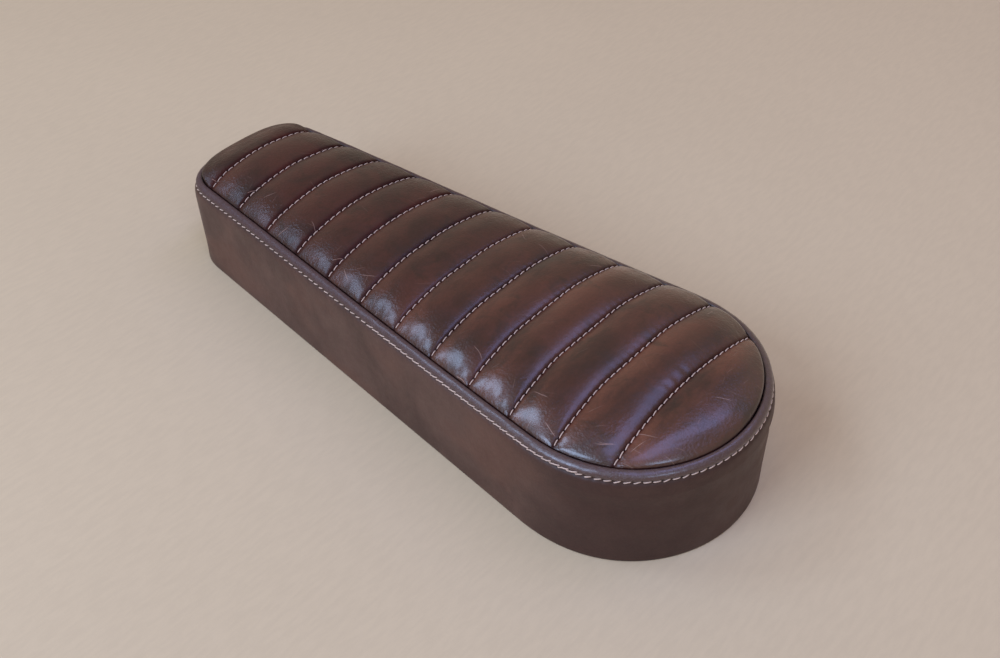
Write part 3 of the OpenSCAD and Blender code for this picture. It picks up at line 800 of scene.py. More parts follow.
class SeatLights(bpy.types.PropertyGroup):
    window: power_of("Window", "Power of the large lamp on the left", 49)
    skylight: power_of("Skylight", "Power of the long lamp overhead", 36)
    low_window: power_of("Low window", "Power of the small lamp behind the tail", 13)
    ahead: power_of("Lamp ahead", "Power of the lamp beyond the front", 24)
    room: amount("Room", "Strength of the light from all round", 0.44, 2.0)
    window_tint: tint("Window colour", "Colour of every lamp but the one overhead", (0.50, 0.67, 1.0, 1.0))
    sky_tint: tint("Skylight colour", "Colour of the lamp overhead", (0.36, 0.44, 1.0, 1.0))
    room_tint: tint("Room colour", "Colour of the light from all round", (1.0, 0.84, 0.66, 1.0))


class SeatSettings(bpy.types.PropertyGroup):
    sewing: bpy.props.PointerProperty(type=SeatSewing)
    colours: bpy.props.PointerProperty(type=SeatColours)
    lights: bpy.props.PointerProperty(type=SeatLights)


# ---------- the pleated top ----------

MID_STEPS = 32  # rows of points in one pleat
FRONT_STEPS = 28
TAIL_STEPS = 36
COLUMN_STEPS = 176
THIN_OUT = 4  # the underside keeps one point in this many

# the simulated form is coarser
SOFT_MID = 10
SOFT_FRONT = 8
SOFT_TAIL = 12
SOFT_COLUMNS = 48
SOFT_BASE = 0.012  # from the seam down to its flat underside
FRAMES = 20
TRAVEL_CAP = 0.005
LEAST_LIFT = 1e-4  # a smaller mean lift means that the simulation didn't run
CLOTH = {
    "quality": 6, "mass": 0.3, "tension_stiffness": 12, "compression_stiffness": 12, "shear_stiffness": 5,
    "bending_stiffness": 0.1, "shrink_min": -0.004, "use_pressure": True, "uniform_pressure_force": 200,
}

LINING = 1.15 * TOP_T  # from the leather's outer face down to its inner one
FOLD = 0.0006  # from the edge of the outer face down to where it has turned
HOLE_WIDE = 0.0016  # reach of the dent that a needle hole makes
PULL_REACH = 0.0045  # reach of its pull into the pleats
GROOVE_WIDE = 0.0011  # reach of the groove that the thread draws
UNEVEN = 0.00022  # depth of the slow unevenness of the leather
PADDING_LEAST = 0.0008
CREASES = 6  # at each end of each pleat


def eased(n):
    """n + 1 steps from 0 to 1, closer together at both ends."""
    t = np.linspace(0, 1, n + 1)
    return 0.5 * t + 0.5 * (0.5 - 0.5 * np.cos(np.pi * t))


def pleat_rows(front, mid, tail):
    """Rows from the front's seam, at 0, by the lines of stitches, at 1 to LINES, to the tail's seam."""
    parts = [eased(front)[:-1]]
    parts += [k + 1 + eased(mid)[:-1] for k in range(LINES - 1)]
    parts.append(LINES + eased(tail))
    return np.concatenate(parts)


def columns(n):
    """Columns from the left seam, at -1, to the right one, closer together near the seams."""
    t = np.linspace(-1, 1, n + 1)
    return 0.4 * t + 0.6 * np.sin(0.5 * np.pi * t)


def end_arc(u, tail, off):
    """Points of the outline round the front or the tail, from one end of the outermost line to the other."""
    s = np.linspace(0, 1, 1501) if tail else np.linspace(3, 1.5, 2501)
    p = place(s, off)
    run = run_along(p)
    reach = np.interp(LAST_LINE, p[:, 1], run) if tail else np.interp(-FIRST_LINE, -p[:, 1], run)
    q = place(np.interp(np.abs(u) * reach, run, s), off)
    return np.stack([np.sign(u) * np.abs(q[:, 0]), q[:, 1]], -1)


def plan(rows, u, off):
    """Places of the top's points, seen from above, for rows and columns."""
    result = np.zeros((len(rows), len(u), 2))
    for tail, line in ((False, FIRST_LINE), (True, LAST_LINE)):
        arc = end_arc(u, tail, off)
        straight = np.stack([u * float(half_width(line, off)), np.full(len(u), line)], -1)
        share = ((rows - LINES) if tail else (1 - rows))[:, None, None]
        t = np.clip(share, 0, 1)
        result = np.where(share > 0, (1 - t) * straight + t * arc, result)
    y = FIRST_LINE - (rows - 1) * PITCH
    for i in np.nonzero((rows >= 1) & (rows <= LINES))[0]:
        result[i, :, 0] = u * float(half_width(y[i], off))
        result[i, :, 1] = y[i]
    return result


def smooth_top(x, y):
    """Height of the top without its pleats."""
    d = depth(x, y)
    return SEAM_H + rise(y) - seam_drop(y) * (1 - smooth(d / BULGE_IN)) + crown(d, y)


def drawn_down(x, y):
    """How much of a pleat's height the stitches take at full depth. It fades out at the seam."""
    return power(np.clip(depth(x, y) / FADE_IN, 0, 1), 0.6)


def pillow(y):
    """Height of a pleat between its lines, from 0 to 1, for the tight shape of a well-filled pleat."""
    near = np.abs(line_gap(y)) / PITCH
    return 1 - power(np.clip(1 - 2 * near, 0, 1), PLEAT_N)


def fullness(y):
    """How full the pleats are, from 0.85 at the front to 1.2 at the tail."""
    return 0.85 + 0.35 * smooth((0.10 - y) / 0.22)


def stitch_line(x, y, swell):
    """Points of a line of stitches on the leather."""
    z = smooth_top(x, y) - swell * drawn_down(x, y) - LINE_DROP
    return np.stack([x, y + bow(x, y), z], -1)


def line_run(k, sewing):
    """Places x along line k and how many stitches lead up to each, counted along the leather."""
    y = np.full(801, FIRST_LINE - k * PITCH)
    reach = float(half_width(y[0], SEAM_IN)) - END_CLEAR
    x = np.linspace(-reach, reach, len(y))
    run = run_along(stitch_line(x, y, sewing.swell))
    count = int(round(run[-1] / sewing.pitch))
    return x, run / run[-1] * count, count


def inflate(points, faces, held):
    """Swells a closed form by cloth simulation and gives back its points."""
    form = new_object("pleat_form", points, faces)
    with edited(form.data) as bm:
        bmesh.ops.recalc_face_normals(bm, faces=bm.faces)
    stitched = form.vertex_groups.new(name="stitched_down")
    stitched.add([int(i) for i in held], 1.0, "REPLACE")
    cloth = form.modifiers.new("Cloth", "CLOTH")
    cloth.settings.vertex_group_mass = stitched.name
    for name, value in CLOTH.items():
        setattr(cloth.settings, name, value)
    cloth.settings.effector_weights.gravity = 0
    cloth.collision_settings.use_collision = False
    cloth.point_cache.frame_start = 1
    cloth.point_cache.frame_end = FRAMES
    scene = bpy.context.scene
    for number in range(1, FRAMES + 1):
        scene.frame_set(number)
    result = places_of(evaluated(form).data)
    discard(form)
    scene.frame_set(1)
    return result


def simulated_swell(rows, u):
    """How the stitched leather swells over its padding, as moves of the top's points at rows and columns."""
    soft_rows = pleat_rows(SOFT_FRONT, SOFT_MID, SOFT_TAIL)
    soft_u = columns(SOFT_COLUMNS)
    n, m = len(soft_rows), len(soft_u)
    count = n * m
    x, y = np.moveaxis(plan(soft_rows, soft_u, SEAM_IN), -1, 0)
    z = smooth_top(x, y) - VALLEY * drawn_down(x, y)
    z = z + 0.00025 * lattice_noise(np.stack([x, y], -1), 0.022, 3) * pillow(y) * drawn_down(x, y)
    top = np.stack([x, y, z], -1)
    points, solid, merged = slab(soft_rows, top, np.stack([x, y, np.full_like(z, SEAM_H - SOFT_BASE)], -1))

    # held at the lines, round the edge, underneath and at both ends of the rows beyond the outermost lines
    number = np.arange(count).reshape(n, m)
    on_line = np.min(np.abs(soft_rows[:, None] - np.arange(1, LINES + 1)), axis=1) < 1e-6
    caps = (soft_rows < 1) | (soft_rows > LINES)
    held = np.concatenate([
        number[on_line].ravel(), edge_loop(soft_rows, m), np.arange(count, 2 * count),
        number[caps][:, :3].ravel(), number[caps][:, -3:].ravel(),
    ])
    swollen = inflate(points, solid, np.unique(merged[held]))
    move = swollen[merged[:count]].reshape(n, m, 3) - top
    size = np.linalg.norm(move, axis=-1, keepdims=True)
    move = move * np.minimum(1, TRAVEL_CAP / np.maximum(size, 1e-9))
    middle = (np.abs(soft_rows % 1 - 0.5) < 0.1) & (soft_rows > 1) & (soft_rows < LINES)
    lift = float(np.mean(move[middle][:, m // 3 : -(m // 3), 2]))
    if lift < LEAST_LIFT:
        raise RuntimeError("the cloth simulation didn't swell the pleats")
    move *= VALLEY / lift

    result = np.zeros((len(rows), len(u), 3))
    across = cubic_weights(soft_u, u)
    for k in range(LINES + 1):
        fine = (rows >= k) & (rows <= k + 1)
        soft = (soft_rows >= k - 1e-9) & (soft_rows <= k + 1 + 1e-9)
        along = cubic_weights(soft_rows[soft], rows[fine])
        result[fine] = np.einsum("ri,ijc,uj->ruc", along, move[soft], across)
    return result


def row_grid(rows, m):
    """Numbers of a sheet's points, and its rows at the first and the last line of stitches."""
    first, last = (int(np.argmin(np.abs(rows - line))) for line in (1, LINES))
    return np.arange(len(rows) * m).reshape(len(rows), m), first, last


def edge_loop(rows, m):
    """Numbers of a sheet's edge points, in order. Its end rows meet at the ends of the outermost lines."""
    grid, first, last = row_grid(rows, m)
    return np.concatenate([grid[0, :-1], grid[first:last, -1], grid[-1, :0:-1], grid[last:first:-1, 0]])


def end_alias(rows, m, start=0):
    """Numbers for a sheet's points in which the end rows share the ends of the outermost lines."""
    grid, first, last = row_grid(rows, m)
    for side in (0, -1):
        grid[:first, side] = grid[first, side]
        grid[last + 1 :, side] = grid[last, side]
    return grid.ravel() + start


def compact(points, faces, alias):
    """Points and faces with doubled points taken out, and the new number of every old point.

    alias gives the number that stands for each point.
    """
    used = np.unique(alias)
    renumber = np.zeros(len(points), int)
    renumber[used] = np.arange(len(used))
    merged = renumber[alias]
    kept = []
    for face in faces:
        ring = [int(merged[i]) for i in face]
        ring = [v for i, v in enumerate(ring) if v != ring[i - 1]]
        if len(ring) > 2:
            kept.append(ring)
    return np.asarray(points)[used], kept, merged


def slab(rows, upper, lower):
    """A closed form between two sheets of points: its points, its faces and every old point's new number."""
    n, m = upper.shape[:2]
    quads, edge = grid_quads(n, m), edge_loop(rows, m)
    faces = [*quads[:, ::-1], *(quads + n * m), *ring_faces(edge, edge + n * m)]
    alias = np.concatenate([end_alias(rows, m), end_alias(rows, m, n * m)])
    return compact(np.concatenate([upper.reshape(-1, 3), lower.reshape(-1, 3)]), faces, alias)


def crease_field(x, y, d):
    """Fans of soft creases where the leather is drawn in, near the ends of the pleats."""
    rng = np.random.default_rng(11)
    field = np.zeros_like(x)
    for k in range(LINES + 1):
        y0 = FIRST_LINE - (k - 0.5) * PITCH
        for side in [-1] * CREASES + [1] * CREASES:
            inward = rng.uniform(0.006, 0.03)
            y_at = y0 + rng.uniform(-0.4, 0.35) * PITCH
            x_at = side * (float(half_width(np.clip(y_at, -0.24, 0.24), SEAM_IN)) - inward)
            turn = side * rng.uniform(0.2, 1.3)
            long = rng.uniform(0.003, 0.009)
            wide = rng.uniform(0.0005, 0.0009)
            bend = rng.uniform(-30, 30)
            strength = rng.uniform(0.4, 1.0)
            dx, dy = x - x_at, y - y_at
            near = (np.abs(dx) < 0.02) & (np.abs(dy) < 0.02)
            if not near.any():
                continue
            a = dx[near] * math.cos(turn) + dy[near] * math.sin(turn)
            b = -dx[near] * math.sin(turn) + dy[near] * math.cos(turn) + bend * a**2
            field[near] -= strength * bell(a, long) * (1 - (b / wide) ** 2 * 0.6) * bell(b, wide)
    return field * smooth(d / 0.004)


def leather_surface(sewing):
    """Points of the top's outer face, as rows and columns."""
    rows = pleat_rows(FRONT_STEPS, MID_STEPS, TAIL_STEPS)
    u = columns(COLUMN_STEPS)
    x, y = np.moveaxis(plan(rows, u, SEAM_IN + GROOVE), -1, 0)
    xy = np.stack([x, y], -1)
    d = depth(x, y)
    fade = drawn_down(x, y)
    share = sewing.simulated
    height = (1 - share) * sewing.swell * fullness(y) * pillow(y) * fade + puff(d, x, y) * pillow(y)
    surface = np.stack([x, y, smooth_top(x, y) - sewing.swell * fade + height], -1)
    if share > 0:
        surface += share * sewing.swell / VALLEY * fullness(y)[..., None] * simulated_swell(rows, u)
    z = surface[..., 2]

    # each needle hole draws the leather in, and the pull runs out into the pleats
    for k in range(LINES):
        off = np.abs(y - (FIRST_LINE - k * PITCH))
        near = off < 0.4 * PITCH
        at, run, _ = line_run(k, sewing)
        hole = 0.5 + 0.5 * np.cos(2 * np.pi * np.interp(x[near], at, run))
        pull = hole * bell(off[near], HOLE_WIDE) + 0.35 * (hole - 0.5) * np.exp(-off[near] / PULL_REACH)
        z[near] -= sewing.pucker * pull * smooth(d[near] / 0.005)
    z -= LINE_DROP * bell(line_gap(y), GROOVE_WIDE) * smooth(d / 0.004)
    z += sewing.crease * crease_field(x, y, d)
    slow = lattice_noise(xy, 0.03, 5) + 0.5 * lattice_noise(xy, 0.013, 6)
    z += UNEVEN * slow * smooth(d / 0.012) * pillow(y)
    z -= sewing.roll * power(1 - np.clip(d / 0.0022, 0, 1), 2)
    out_x, out_y = lean_out(x, y, d)
    surface[..., 0] += out_x * pillow(y)
    surface[..., 1] += out_y * pillow(y) + bow(x, y)
    return rows, surface


def top_solid(rows, surface):
    """The leather's points and faces, with its turned-in edge and its underside."""
    n, m = surface.shape[:2]
    small_rows, inner = rows[::THIN_OUT], surface[::THIN_OUT, ::THIN_OUT].copy()
    x, y = np.moveaxis(plan(small_rows, columns(COLUMN_STEPS)[::THIN_OUT], SEAM_IN + GROOVE + TOP_T), -1, 0)
    inner[..., 0], inner[..., 1] = x, y + bow(x, y)
    inner[..., 2] -= LINING
    small_n, small_m = inner.shape[:2]
    outer, inner = surface.reshape(-1, 3), inner.reshape(-1, 3)
    edge, inner_edge = edge_loop(rows, m), edge_loop(small_rows, small_m)

    def foot(source):
        """Points straight under a row of the edge, where the folded edge ends."""
        level = SEAM_H + rise(source[:, 1]) - seam_drop(source[:, 1]) - ALLOWANCE
        return np.column_stack([source[:, :2], level])

    points = [outer, inner, outer[edge] - [0, 0, FOLD], foot(outer[edge]), foot(inner[inner_edge])]
    ends = np.cumsum([len(p) for p in points])
    turn, low, inner_low = (np.arange(a, b) for a, b in zip(ends[1:], ends[2:]))
    faces = list(grid_quads(n, m)[:, ::-1]) + list(grid_quads(small_n, small_m) + len(outer))
    faces += ring_faces(edge, turn) + ring_faces(turn, low) + ring_faces(inner_low, inner_edge + len(outer))
    wide = np.append(low, low[0])
    for i in range(len(inner_low)):
        strip = list(wide[THIN_OUT * i : THIN_OUT * (i + 1) + 1])
        faces.append(strip + [inner_low[(i + 1) % len(inner_low)], inner_low[i]])
    alias = np.concatenate([end_alias(rows, m), end_alias(small_rows, small_m, len(outer)),
                            np.arange(ends[1], ends[-1])])
    return compact(np.concatenate(points), faces, alias)[:2]


def quilted_padding(rows, surface):
    """The padding under the leather: its upper side follows the leather's underside."""
    inset_by = SIDE_HIGH.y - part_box("pleat_padding")[1].y
    x, y = np.moveaxis(plan(rows, columns(COLUMN_STEPS)[::THIN_OUT], inset_by), -1, 0)
    low = SEAM_H + rise(y) + under_crown(depth(x, y)) - TOP_T - GAP - QUILT_T
    high = np.maximum(surface[..., 2] - LINING - GAP, low + PADDING_LEAST)
    y = y + bow(x, y)
    upper, lower = (np.stack([x, y, z], -1) for z in (high, low))
    obj = new_object("pleat_quilting", *slab(rows, upper, lower)[:2])
    face_outwards(obj)
    return obj


def top_marks(obj):
    """Stores where the leather is darker beside the lines and the seam (burnished, with painted shade), dull,
    polished, warm or creased.
    """
    x, y, _ = places_of(obj.data).T
    y = y - bow(x, y)
    d = depth(x, y)
    gap = line_gap(y)
    toward_tail = smooth((0.12 - y) / 0.26)
    # darker beside each line and right at the seam: burnished leather with painted shade in the grooves
    beside = 0.8 * np.exp(-np.abs(gap) / 0.0011) + 0.75 * np.exp(-np.abs(d) / 0.0010)
    behind = np.clip(np.where(gap <= 0, -gap, PITCH - gap) / PITCH, 0, 1)
    behind = np.where(y > FIRST_LINE, 0.7, behind)
    warm_stretch = smooth(1 - behind / 0.62) * smooth(behind / 0.03)
    creased = smooth(1 - (d - 0.012) / 0.026) * (0.35 + 0.65 * smooth(1 - behind * 0.6))
    store(obj, "burnish", np.clip(beside, 0, 1) * 0.85)
    store(obj, "dull", bell(gap, 0.0016 + 0.0024 * smooth((y + 0.02) / 0.1)))
    near_seam = 0.18 + toward_tail * (0.36 + 0.46 * smooth(1.3 - d / 0.02))
    store(obj, "polish", (1 - bell(gap, 0.0024)) * near_seam)
    # warm just behind each line, more so toward the tail, and warmer over the tail
    store(obj, "warm", warm_stretch * (0.22 + 0.78 * toward_tail) + 0.28 * smooth((0.12 - y) / 0.2) * (1 - warm_stretch))
    store(obj, "crease", np.clip(creased, 0, 1))


class SEAT_OT_top(bpy.types.Operator):
    """Makes the pleated leather top and the padding quilted into it"""

    bl_idname = "seat.pleated_top"
    bl_label = "Pleated Top"

    def execute(self, context):
        settings = context.scene.pleated_seat
        rows, surface = leather_surface(settings.sewing)
        top = new_object("pleated_top", *top_solid(rows, surface))
        face_outwards(top)
        shade(top, top_leather(settings.colours))
        top_marks(top)
        finish_piece(top, "top_panel")

        quilt = quilted_padding(rows[::THIN_OUT], surface[::THIN_OUT, ::THIN_OUT])
        shade(quilt, foam_finish("quilted_padding", settings.colours.padding, 0.0014))
        finish_piece(quilt, "pleat_padding")
        return {"FINISHED"}


# ---------- the side ----------

STITCH_STATIONS = 6  # stations of the side in one stitch
WALL_STEPS = 9
WALL_FOOT = 0.004
SHOULDER_STEP = 0.0008
ROW_WIDE = 0.0017  # reach of the dent along the row of stitches
ROW_PULL = 0.004  # reach of its pull
JOINT_WIDE = 0.0011
JOINT_DEEP = 0.0007
FOLD_DEEP = 0.0007  # of the soft fold under the shoulder of the tail
FOLD_WIDE = 0.005
OVERLAP_FROM = 0.008  # the row round the side starts and ends on the left, where it runs double
OVERLAP_TO = -0.180
OVERLAP_LIFT = 0.0009


def side_section():
    """Closed section of the side: inset, height and share of the rise, from the hem's foot over the outside.

    Also gives how many of its points lie outside.
    """
    shoulder = np.array([
        [0.0, -0.0240], [0.0, -SHOULDER_DROP], [0.00015, -0.0135], [0.0005, -0.0102], [0.0011, -0.0077],
        [0.0019, -0.0062], [STITCH_IN, -0.0055], [STITCH_IN, -0.0044], [0.00235, -0.0033], [0.0031, -0.0020],
        [0.0043, -0.0010], [0.0058, -0.0003], [0.0071, -0.0002], [0.00795, -0.0006], [0.0083, -0.0014],
        [0.00835, -0.0026], [0.00835, -0.0090],
    ])
    run = run_along(shoulder)
    start, end = run[1], run[-2]
    at = np.linspace(start, end, int(round((end - start) / SHOULDER_STEP)) + 1)
    foot = [[0.0011, 0.0, 0], [0.0005, 0.0002, 0], [0.00015, 0.0007, 0], [0.0, 0.0018, 0]]
    share = np.linspace(0, 1, WALL_STEPS + 1)[:-1]
    wall_z = np.linspace(WALL_FOOT, SEAM_H - SHOULDER_DROP, WALL_STEPS + 1)[:-1]
    wall = [[0.0, z, r] for z, r in zip(wall_z, share)]
    over = [[c[0], SEAM_H + c[1], 1] for c in cubic_weights(run, at) @ shoulder]
    flange = SEAM_IN - GROOVE
    inside = [
        [flange, SEAM_H - 0.0055, 1], [flange, SEAM_H - ALLOWANCE, 1],
        [flange - SIDE_T, SEAM_H - ALLOWANCE, 1], [flange - SIDE_T, SEAM_H - SIDE_T - 0.0012, 1],
        [0.0054, SEAM_H - SIDE_T - 0.0011, 1], [0.0039, SEAM_H - 0.0053, 1], [0.0027, SEAM_H - 0.0100, 1],
        [SIDE_T, SEAM_H - SHOULDER_DROP, 1], [SIDE_T, 0.04, 0.5], [SIDE_T, 0.0030, 0], [0.0022, 0.0018, 0],
        [0.0036, SIDE_T, 0], [0.0060, SIDE_T, 0], [HEM_IN - 0.0003, 0.0022, 0], [HEM_IN, 0.0036, 0],
        [HEM_IN, HEM_H - 0.0003, 0], [HEM_IN + 0.0005, HEM_H, 0], [HEM_END - 0.0005, HEM_H, 0],
        [HEM_END, HEM_H - 0.0005, 0], [HEM_END, 0.0018, 0], [HEM_END - 0.0006, 0.0004, 0],
        [HEM_END - 0.0016, 0.0, 0],
    ]
    return np.array(foot + wall + over + inside), len(foot) + len(wall) + len(over)


def side_stitches(sewing):
    """How many stitches go once round the side."""
    return int(round(even_stations(1)[1] / sewing.pitch))


def side_surface(sewing):
    """Points of the side as stations and points of the section."""
    n = side_stitches(sewing) * STITCH_STATIONS
    stations, _ = even_stations(n)
    section, outside_to = side_section()
    m = len(section)
    level, follows = section[:, 1], section[:, 2]
    outside = np.arange(m) < outside_to
    inward = np.tile(section[:, 0], (n, 1))
    x, y = place(stations, 0.0).T
    height = np.tile(level, (n, 1)) + (rise(y) - seam_drop(y))[:, None] * follows
    hole = 0.5 + 0.5 * np.cos(2 * np.pi * np.arange(n) / STITCH_STATIONS)[:, None]

    below = level - (SEAM_H - STITCH_DROP)
    near = bell(below, ROW_WIDE) * outside
    spread = np.exp(-np.abs(below) / ROW_PULL) * outside
    inward += STITCH_SUNK * near
    inward += sewing.pucker * (hole * near + 0.3 * (hole - 0.5) * spread)

    # the band is rolled over its folded edges, which swell and pinch a little along the way
    point = np.dstack([np.tile(x[:, None], (1, m)), np.tile(y[:, None], (1, m)), height])
    band = (below > 0.0008) & outside & (follows == 1)
    across = np.clip((section[:, 0] - STITCH_IN) / (SEAM_IN - 0.0023), 0, 1)
    arch = np.where(band, np.sin(np.pi * across), 0)
    for high, cell, seed in ((0.00030, 0.017, 21), (0.00022, 0.006, 22), (0.00012, 0.0035, 23)):
        height += arch * high * lattice_noise(point, cell, seed)

    # slow waves, a fold under the shoulder of the tail and fine unevenness in the wall
    wall = outside * smooth(level / 0.012) * smooth((SEAM_H - 0.006 - level) / 0.012)
    waves = lattice_noise(point, 0.06, 24) + 0.5 * lattice_noise(point, 0.025, 25)
    inward += sewing.wall_wave * (0.5 + 0.35 * waves) * wall
    around_tail = smooth((TAIL_Y - y) / 0.06)[:, None]
    drift = 0.003 * lattice_noise(point[:, :1, :2], 0.05, 26)
    off = height - (SEAM_H - 0.024 + drift)
    inward += FOLD_DEEP * (bell(off, FOLD_WIDE) - 0.7 * bell(off - 0.009, FOLD_WIDE)) * around_tail * wall

    # the joint in the middle of the front
    joint = bell(x, JOINT_WIDE) * (y > 0)
    inward += JOINT_DEEP * joint[:, None] * outside * (level < SEAM_H - SHOULDER_DROP)

    surface = np.dstack([np.zeros((n, m, 2)), np.maximum(height, 0)])
    for j in range(m):
        low, high = float(inward[:, j].min()), float(inward[:, j].max())
        surface[:, j, :2] = place(stations, low)
        if high - low >= 1e-9:
            t = ((inward[:, j] - low) / (high - low))[:, None]
            surface[:, j, :2] += (place(stations, high) - surface[:, j, :2]) * t
    return surface


def side_marks(obj):
    """Stores where the side is in the band, polished, near the tail (for painted shade) or darker beside its
    stitches and inside the seam (painted shade).
    """
    x, y, z = places_of(obj.data).T
    above = z - rise(y) + seam_drop(y) - SEAM_H
    inward = inset(x, y, 0.0)
    band = smooth((above + STITCH_DROP - 0.0002) / 0.001) * (inward < SEAM_IN + 0.001)
    # painted shade in the groove of the row of stitches and on the leather turned in at the seam
    beside = np.exp(-np.abs(above + STITCH_DROP) / 0.0011) * (inward < 0.004)
    in_seam = smooth((inward - (SEAM_IN - 0.0013)) / 0.001) * (above > -0.0095)
    store(obj, "band", band)
    store(obj, "polish", band * (0.2 + 0.8 * smooth((0.1 - y) / 0.26)))
    # for the painted shade toward the tail
    store(obj, "tail", smooth((TAIL_Y + 0.01 - y) / 0.06))
    store(obj, "burnish", np.clip(0.8 * beside + in_seam, 0, 1))


class SEAT_OT_side(bpy.types.Operator):
    """Makes the leather side with its turned hem, rolled band and topstitched groove"""

    bl_idname = "seat.side"
    bl_label = "Leather Side"

    def execute(self, context):
        settings = context.scene.pleated_seat
        surface = side_surface(settings.sewing)
        n, m = surface.shape[:2]
        a = np.arange(n * m).reshape(n, m)
        b = np.roll(a, -1, axis=0)
        faces = np.stack([a, b, np.roll(b, -1, axis=1), np.roll(a, -1, axis=1)], -1).reshape(-1, 4)
        side = new_object("leather_side", surface.reshape(-1, 3), faces)
        face_outwards(side)
        shade(side, side_leather(settings.colours))
        side_marks(side)
        finish_piece(side, "side_panel")
        return {"FINISHED"}


# ---------- stitches ----------

STITCH_SEED = 4
SECTION_SIDES = 7
BACK_OUT = 0.45  # how far a stitch's middle stands off the leather, in thread radii


class Tree(Nodes):
    """A tree for geometry, with inputs of the given kinds. given holds what comes in."""

    def __init__(self, name, **kinds):
        super().__init__(bpy.data.node_groups.new(name, "GeometryNodeTree"))
        for label, kind in {"Geometry": "Geometry", **kinds}.items():
            self.tree.interface.new_socket(label, in_out="INPUT", socket_type="NodeSocket" + kind)
        self.tree.interface.new_socket("Geometry", in_out="OUTPUT", socket_type="NodeSocketGeometry")
        self.given = self.node("NodeGroupInput").outputs

    def stored(self, label, kind="FLOAT_VECTOR"):
        """What the points or faces carry under that name."""
        return self.out("GeometryNodeInputNamedAttribute", {"Name": label}, "Attribute", data_type=kind)

    def laid(self, piece, axes, least, most):
        """Copies of a piece on the given points, turned to the axes and by chance about their own upright."""
        chance = self.node("FunctionNodeRandomValue", {"Seed": self.given["Seed"]}, data_type="FLOAT")
        low, high = [socket for socket in chance.inputs if socket.type == "VALUE"][:2]
        self.join(least, low)
        self.join(most, high)
        angle = next(socket for socket in chance.outputs if socket.type == "VALUE")
        turn = self.out("FunctionNodeAxisAngleToRotation", {"Axis": (0, 0, 1), "Angle": angle})
        lean = {"Rotation": axes, "Rotate By": turn}
        lean = self.out("FunctionNodeRotateRotation", lean, rotation_space="LOCAL")
        lay = self.out("GeometryNodeInstanceOnPoints", {
            "Points": self.given["Geometry"], "Instance": piece, "Rotation": lean,
        })
        return self.out("GeometryNodeRealizeInstances", {0: lay})

    def finished(self, geometry, material, **chosen):
        """The geometry with the given material, or only its chosen faces."""
        inputs = {"Geometry": geometry, "Material": self.given[material], **chosen}
        return self.out("GeometryNodeSetMaterial", inputs)

    def end(self, geometry):
        """The tree, once it gives back the geometry."""
        self.node("NodeGroupOutput", {0: geometry})
        return self.tree


def stitch_tree(name):
    """A tree that lays one stitch on every point, along its stored direction and with its back outwards."""
    g = Tree(name, Length="Float", Radius="Float", Pitch="Float", Slant="Float", Seed="Int",
             Thread="Material", Hole="Material")
    radius = g.given["Radius"]

    # one stitch: a short thread that arches out of one hole and into the next
    half = g.times(g.given["Length"], 0.5)
    line = {"Start": g.vector(X=g.times(half, -1.0)), "End": g.vector(X=half)}
    line = g.out("GeometryNodeCurvePrimitiveLine", line)
    split = g.out("GeometryNodeResampleCurve", {"Curve": line, "Count": 8})
    x = g.out("ShaderNodeSeparateXYZ", {0: g.out("GeometryNodeInputPosition")})
    fall = g.number("POWER", g.number("ABSOLUTE", g.number("DIVIDE", x, half)), 4.0)
    drop = g.vector(Z=g.times(g.times(fall, radius), -1.7))
    bent = g.out("GeometryNodeSetPosition", {"Geometry": split, "Offset": drop})
    section = g.out("GeometryNodeCurvePrimitiveCircle", {"Resolution": SECTION_SIDES, "Radius": radius})
    thick = g.out("GeometryNodeCurveToMesh", {"Curve": bent, "Profile Curve": section, "Fill Caps": True})
    thread = g.out("GeometryNodeSetShadeSmooth", {"Geometry": thick})

    # the needle hole at its end: a flat disc, painted near-black as the shade inside the hole
    disc = g.out("GeometryNodeMeshCircle", {"Vertices": 8, "Radius": g.times(radius, 1.1)}, fill_type="NGON")
    shift = g.vector(X=g.times(g.given["Pitch"], 0.5), Z=g.times(radius, -0.25))
    disc = g.out("GeometryNodeTransform", {"Geometry": disc, "Translation": shift, "Scale": (1.0, 0.8, 1.0)})
    hole = g.out("GeometryNodeStoreNamedAttribute", {"Geometry": disc, "Name": "needle_hole", "Value": True},
                 data_type="BOOLEAN", domain="FACE")
    both = g.node("GeometryNodeJoinGeometry")
    for part in (hole, thread):
        g.join(part, both.inputs[0])

    upright = {"Primary Axis": g.stored("along"), "Secondary Axis": g.stored("outward")}
    axes = g.out("FunctionNodeAxesToRotation", upright, primary_axis="X", secondary_axis="Z")
    slant = g.given["Slant"]
    laid = g.laid(both.outputs[0], axes, g.times(slant, 0.3), g.times(slant, 1.7))
    pierced = g.finished(g.finished(laid, "Thread"), "Hole", Selection=g.stored("needle_hole", "BOOLEAN"))
    return g.end(pierced)


def grown(name, points, vectors, tree, values):
    """A plain mesh of what a tree makes on the points, which carry the named vectors.

    The tree's inputs are set by the identifiers of their sockets.
    """
    seed = new_object(name + "_points", points, [])
    for label, data in vectors.items():
        store(seed, label, data)
    modifier = seed.modifiers.new(name, "NODES")
    modifier.node_group = tree
    for item in tree.interface.items_tree:
        if item.item_type == "SOCKET" and item.in_out == "INPUT" and item.name in values:
            modifier[item.identifier] = values[item.name]
    mesh = bpy.data.meshes.new_from_object(evaluated(seed))
    mesh.name = name
    modifier.node_group = None
    discard(seed)
    if not mesh.polygons:
        raise RuntimeError(f"{name} came out empty")
    return linked(name, mesh)


def unit(v):
    """Vectors brought to length 1."""
    return v / np.maximum(np.linalg.norm(v, axis=-1, keepdims=True), 1e-12)


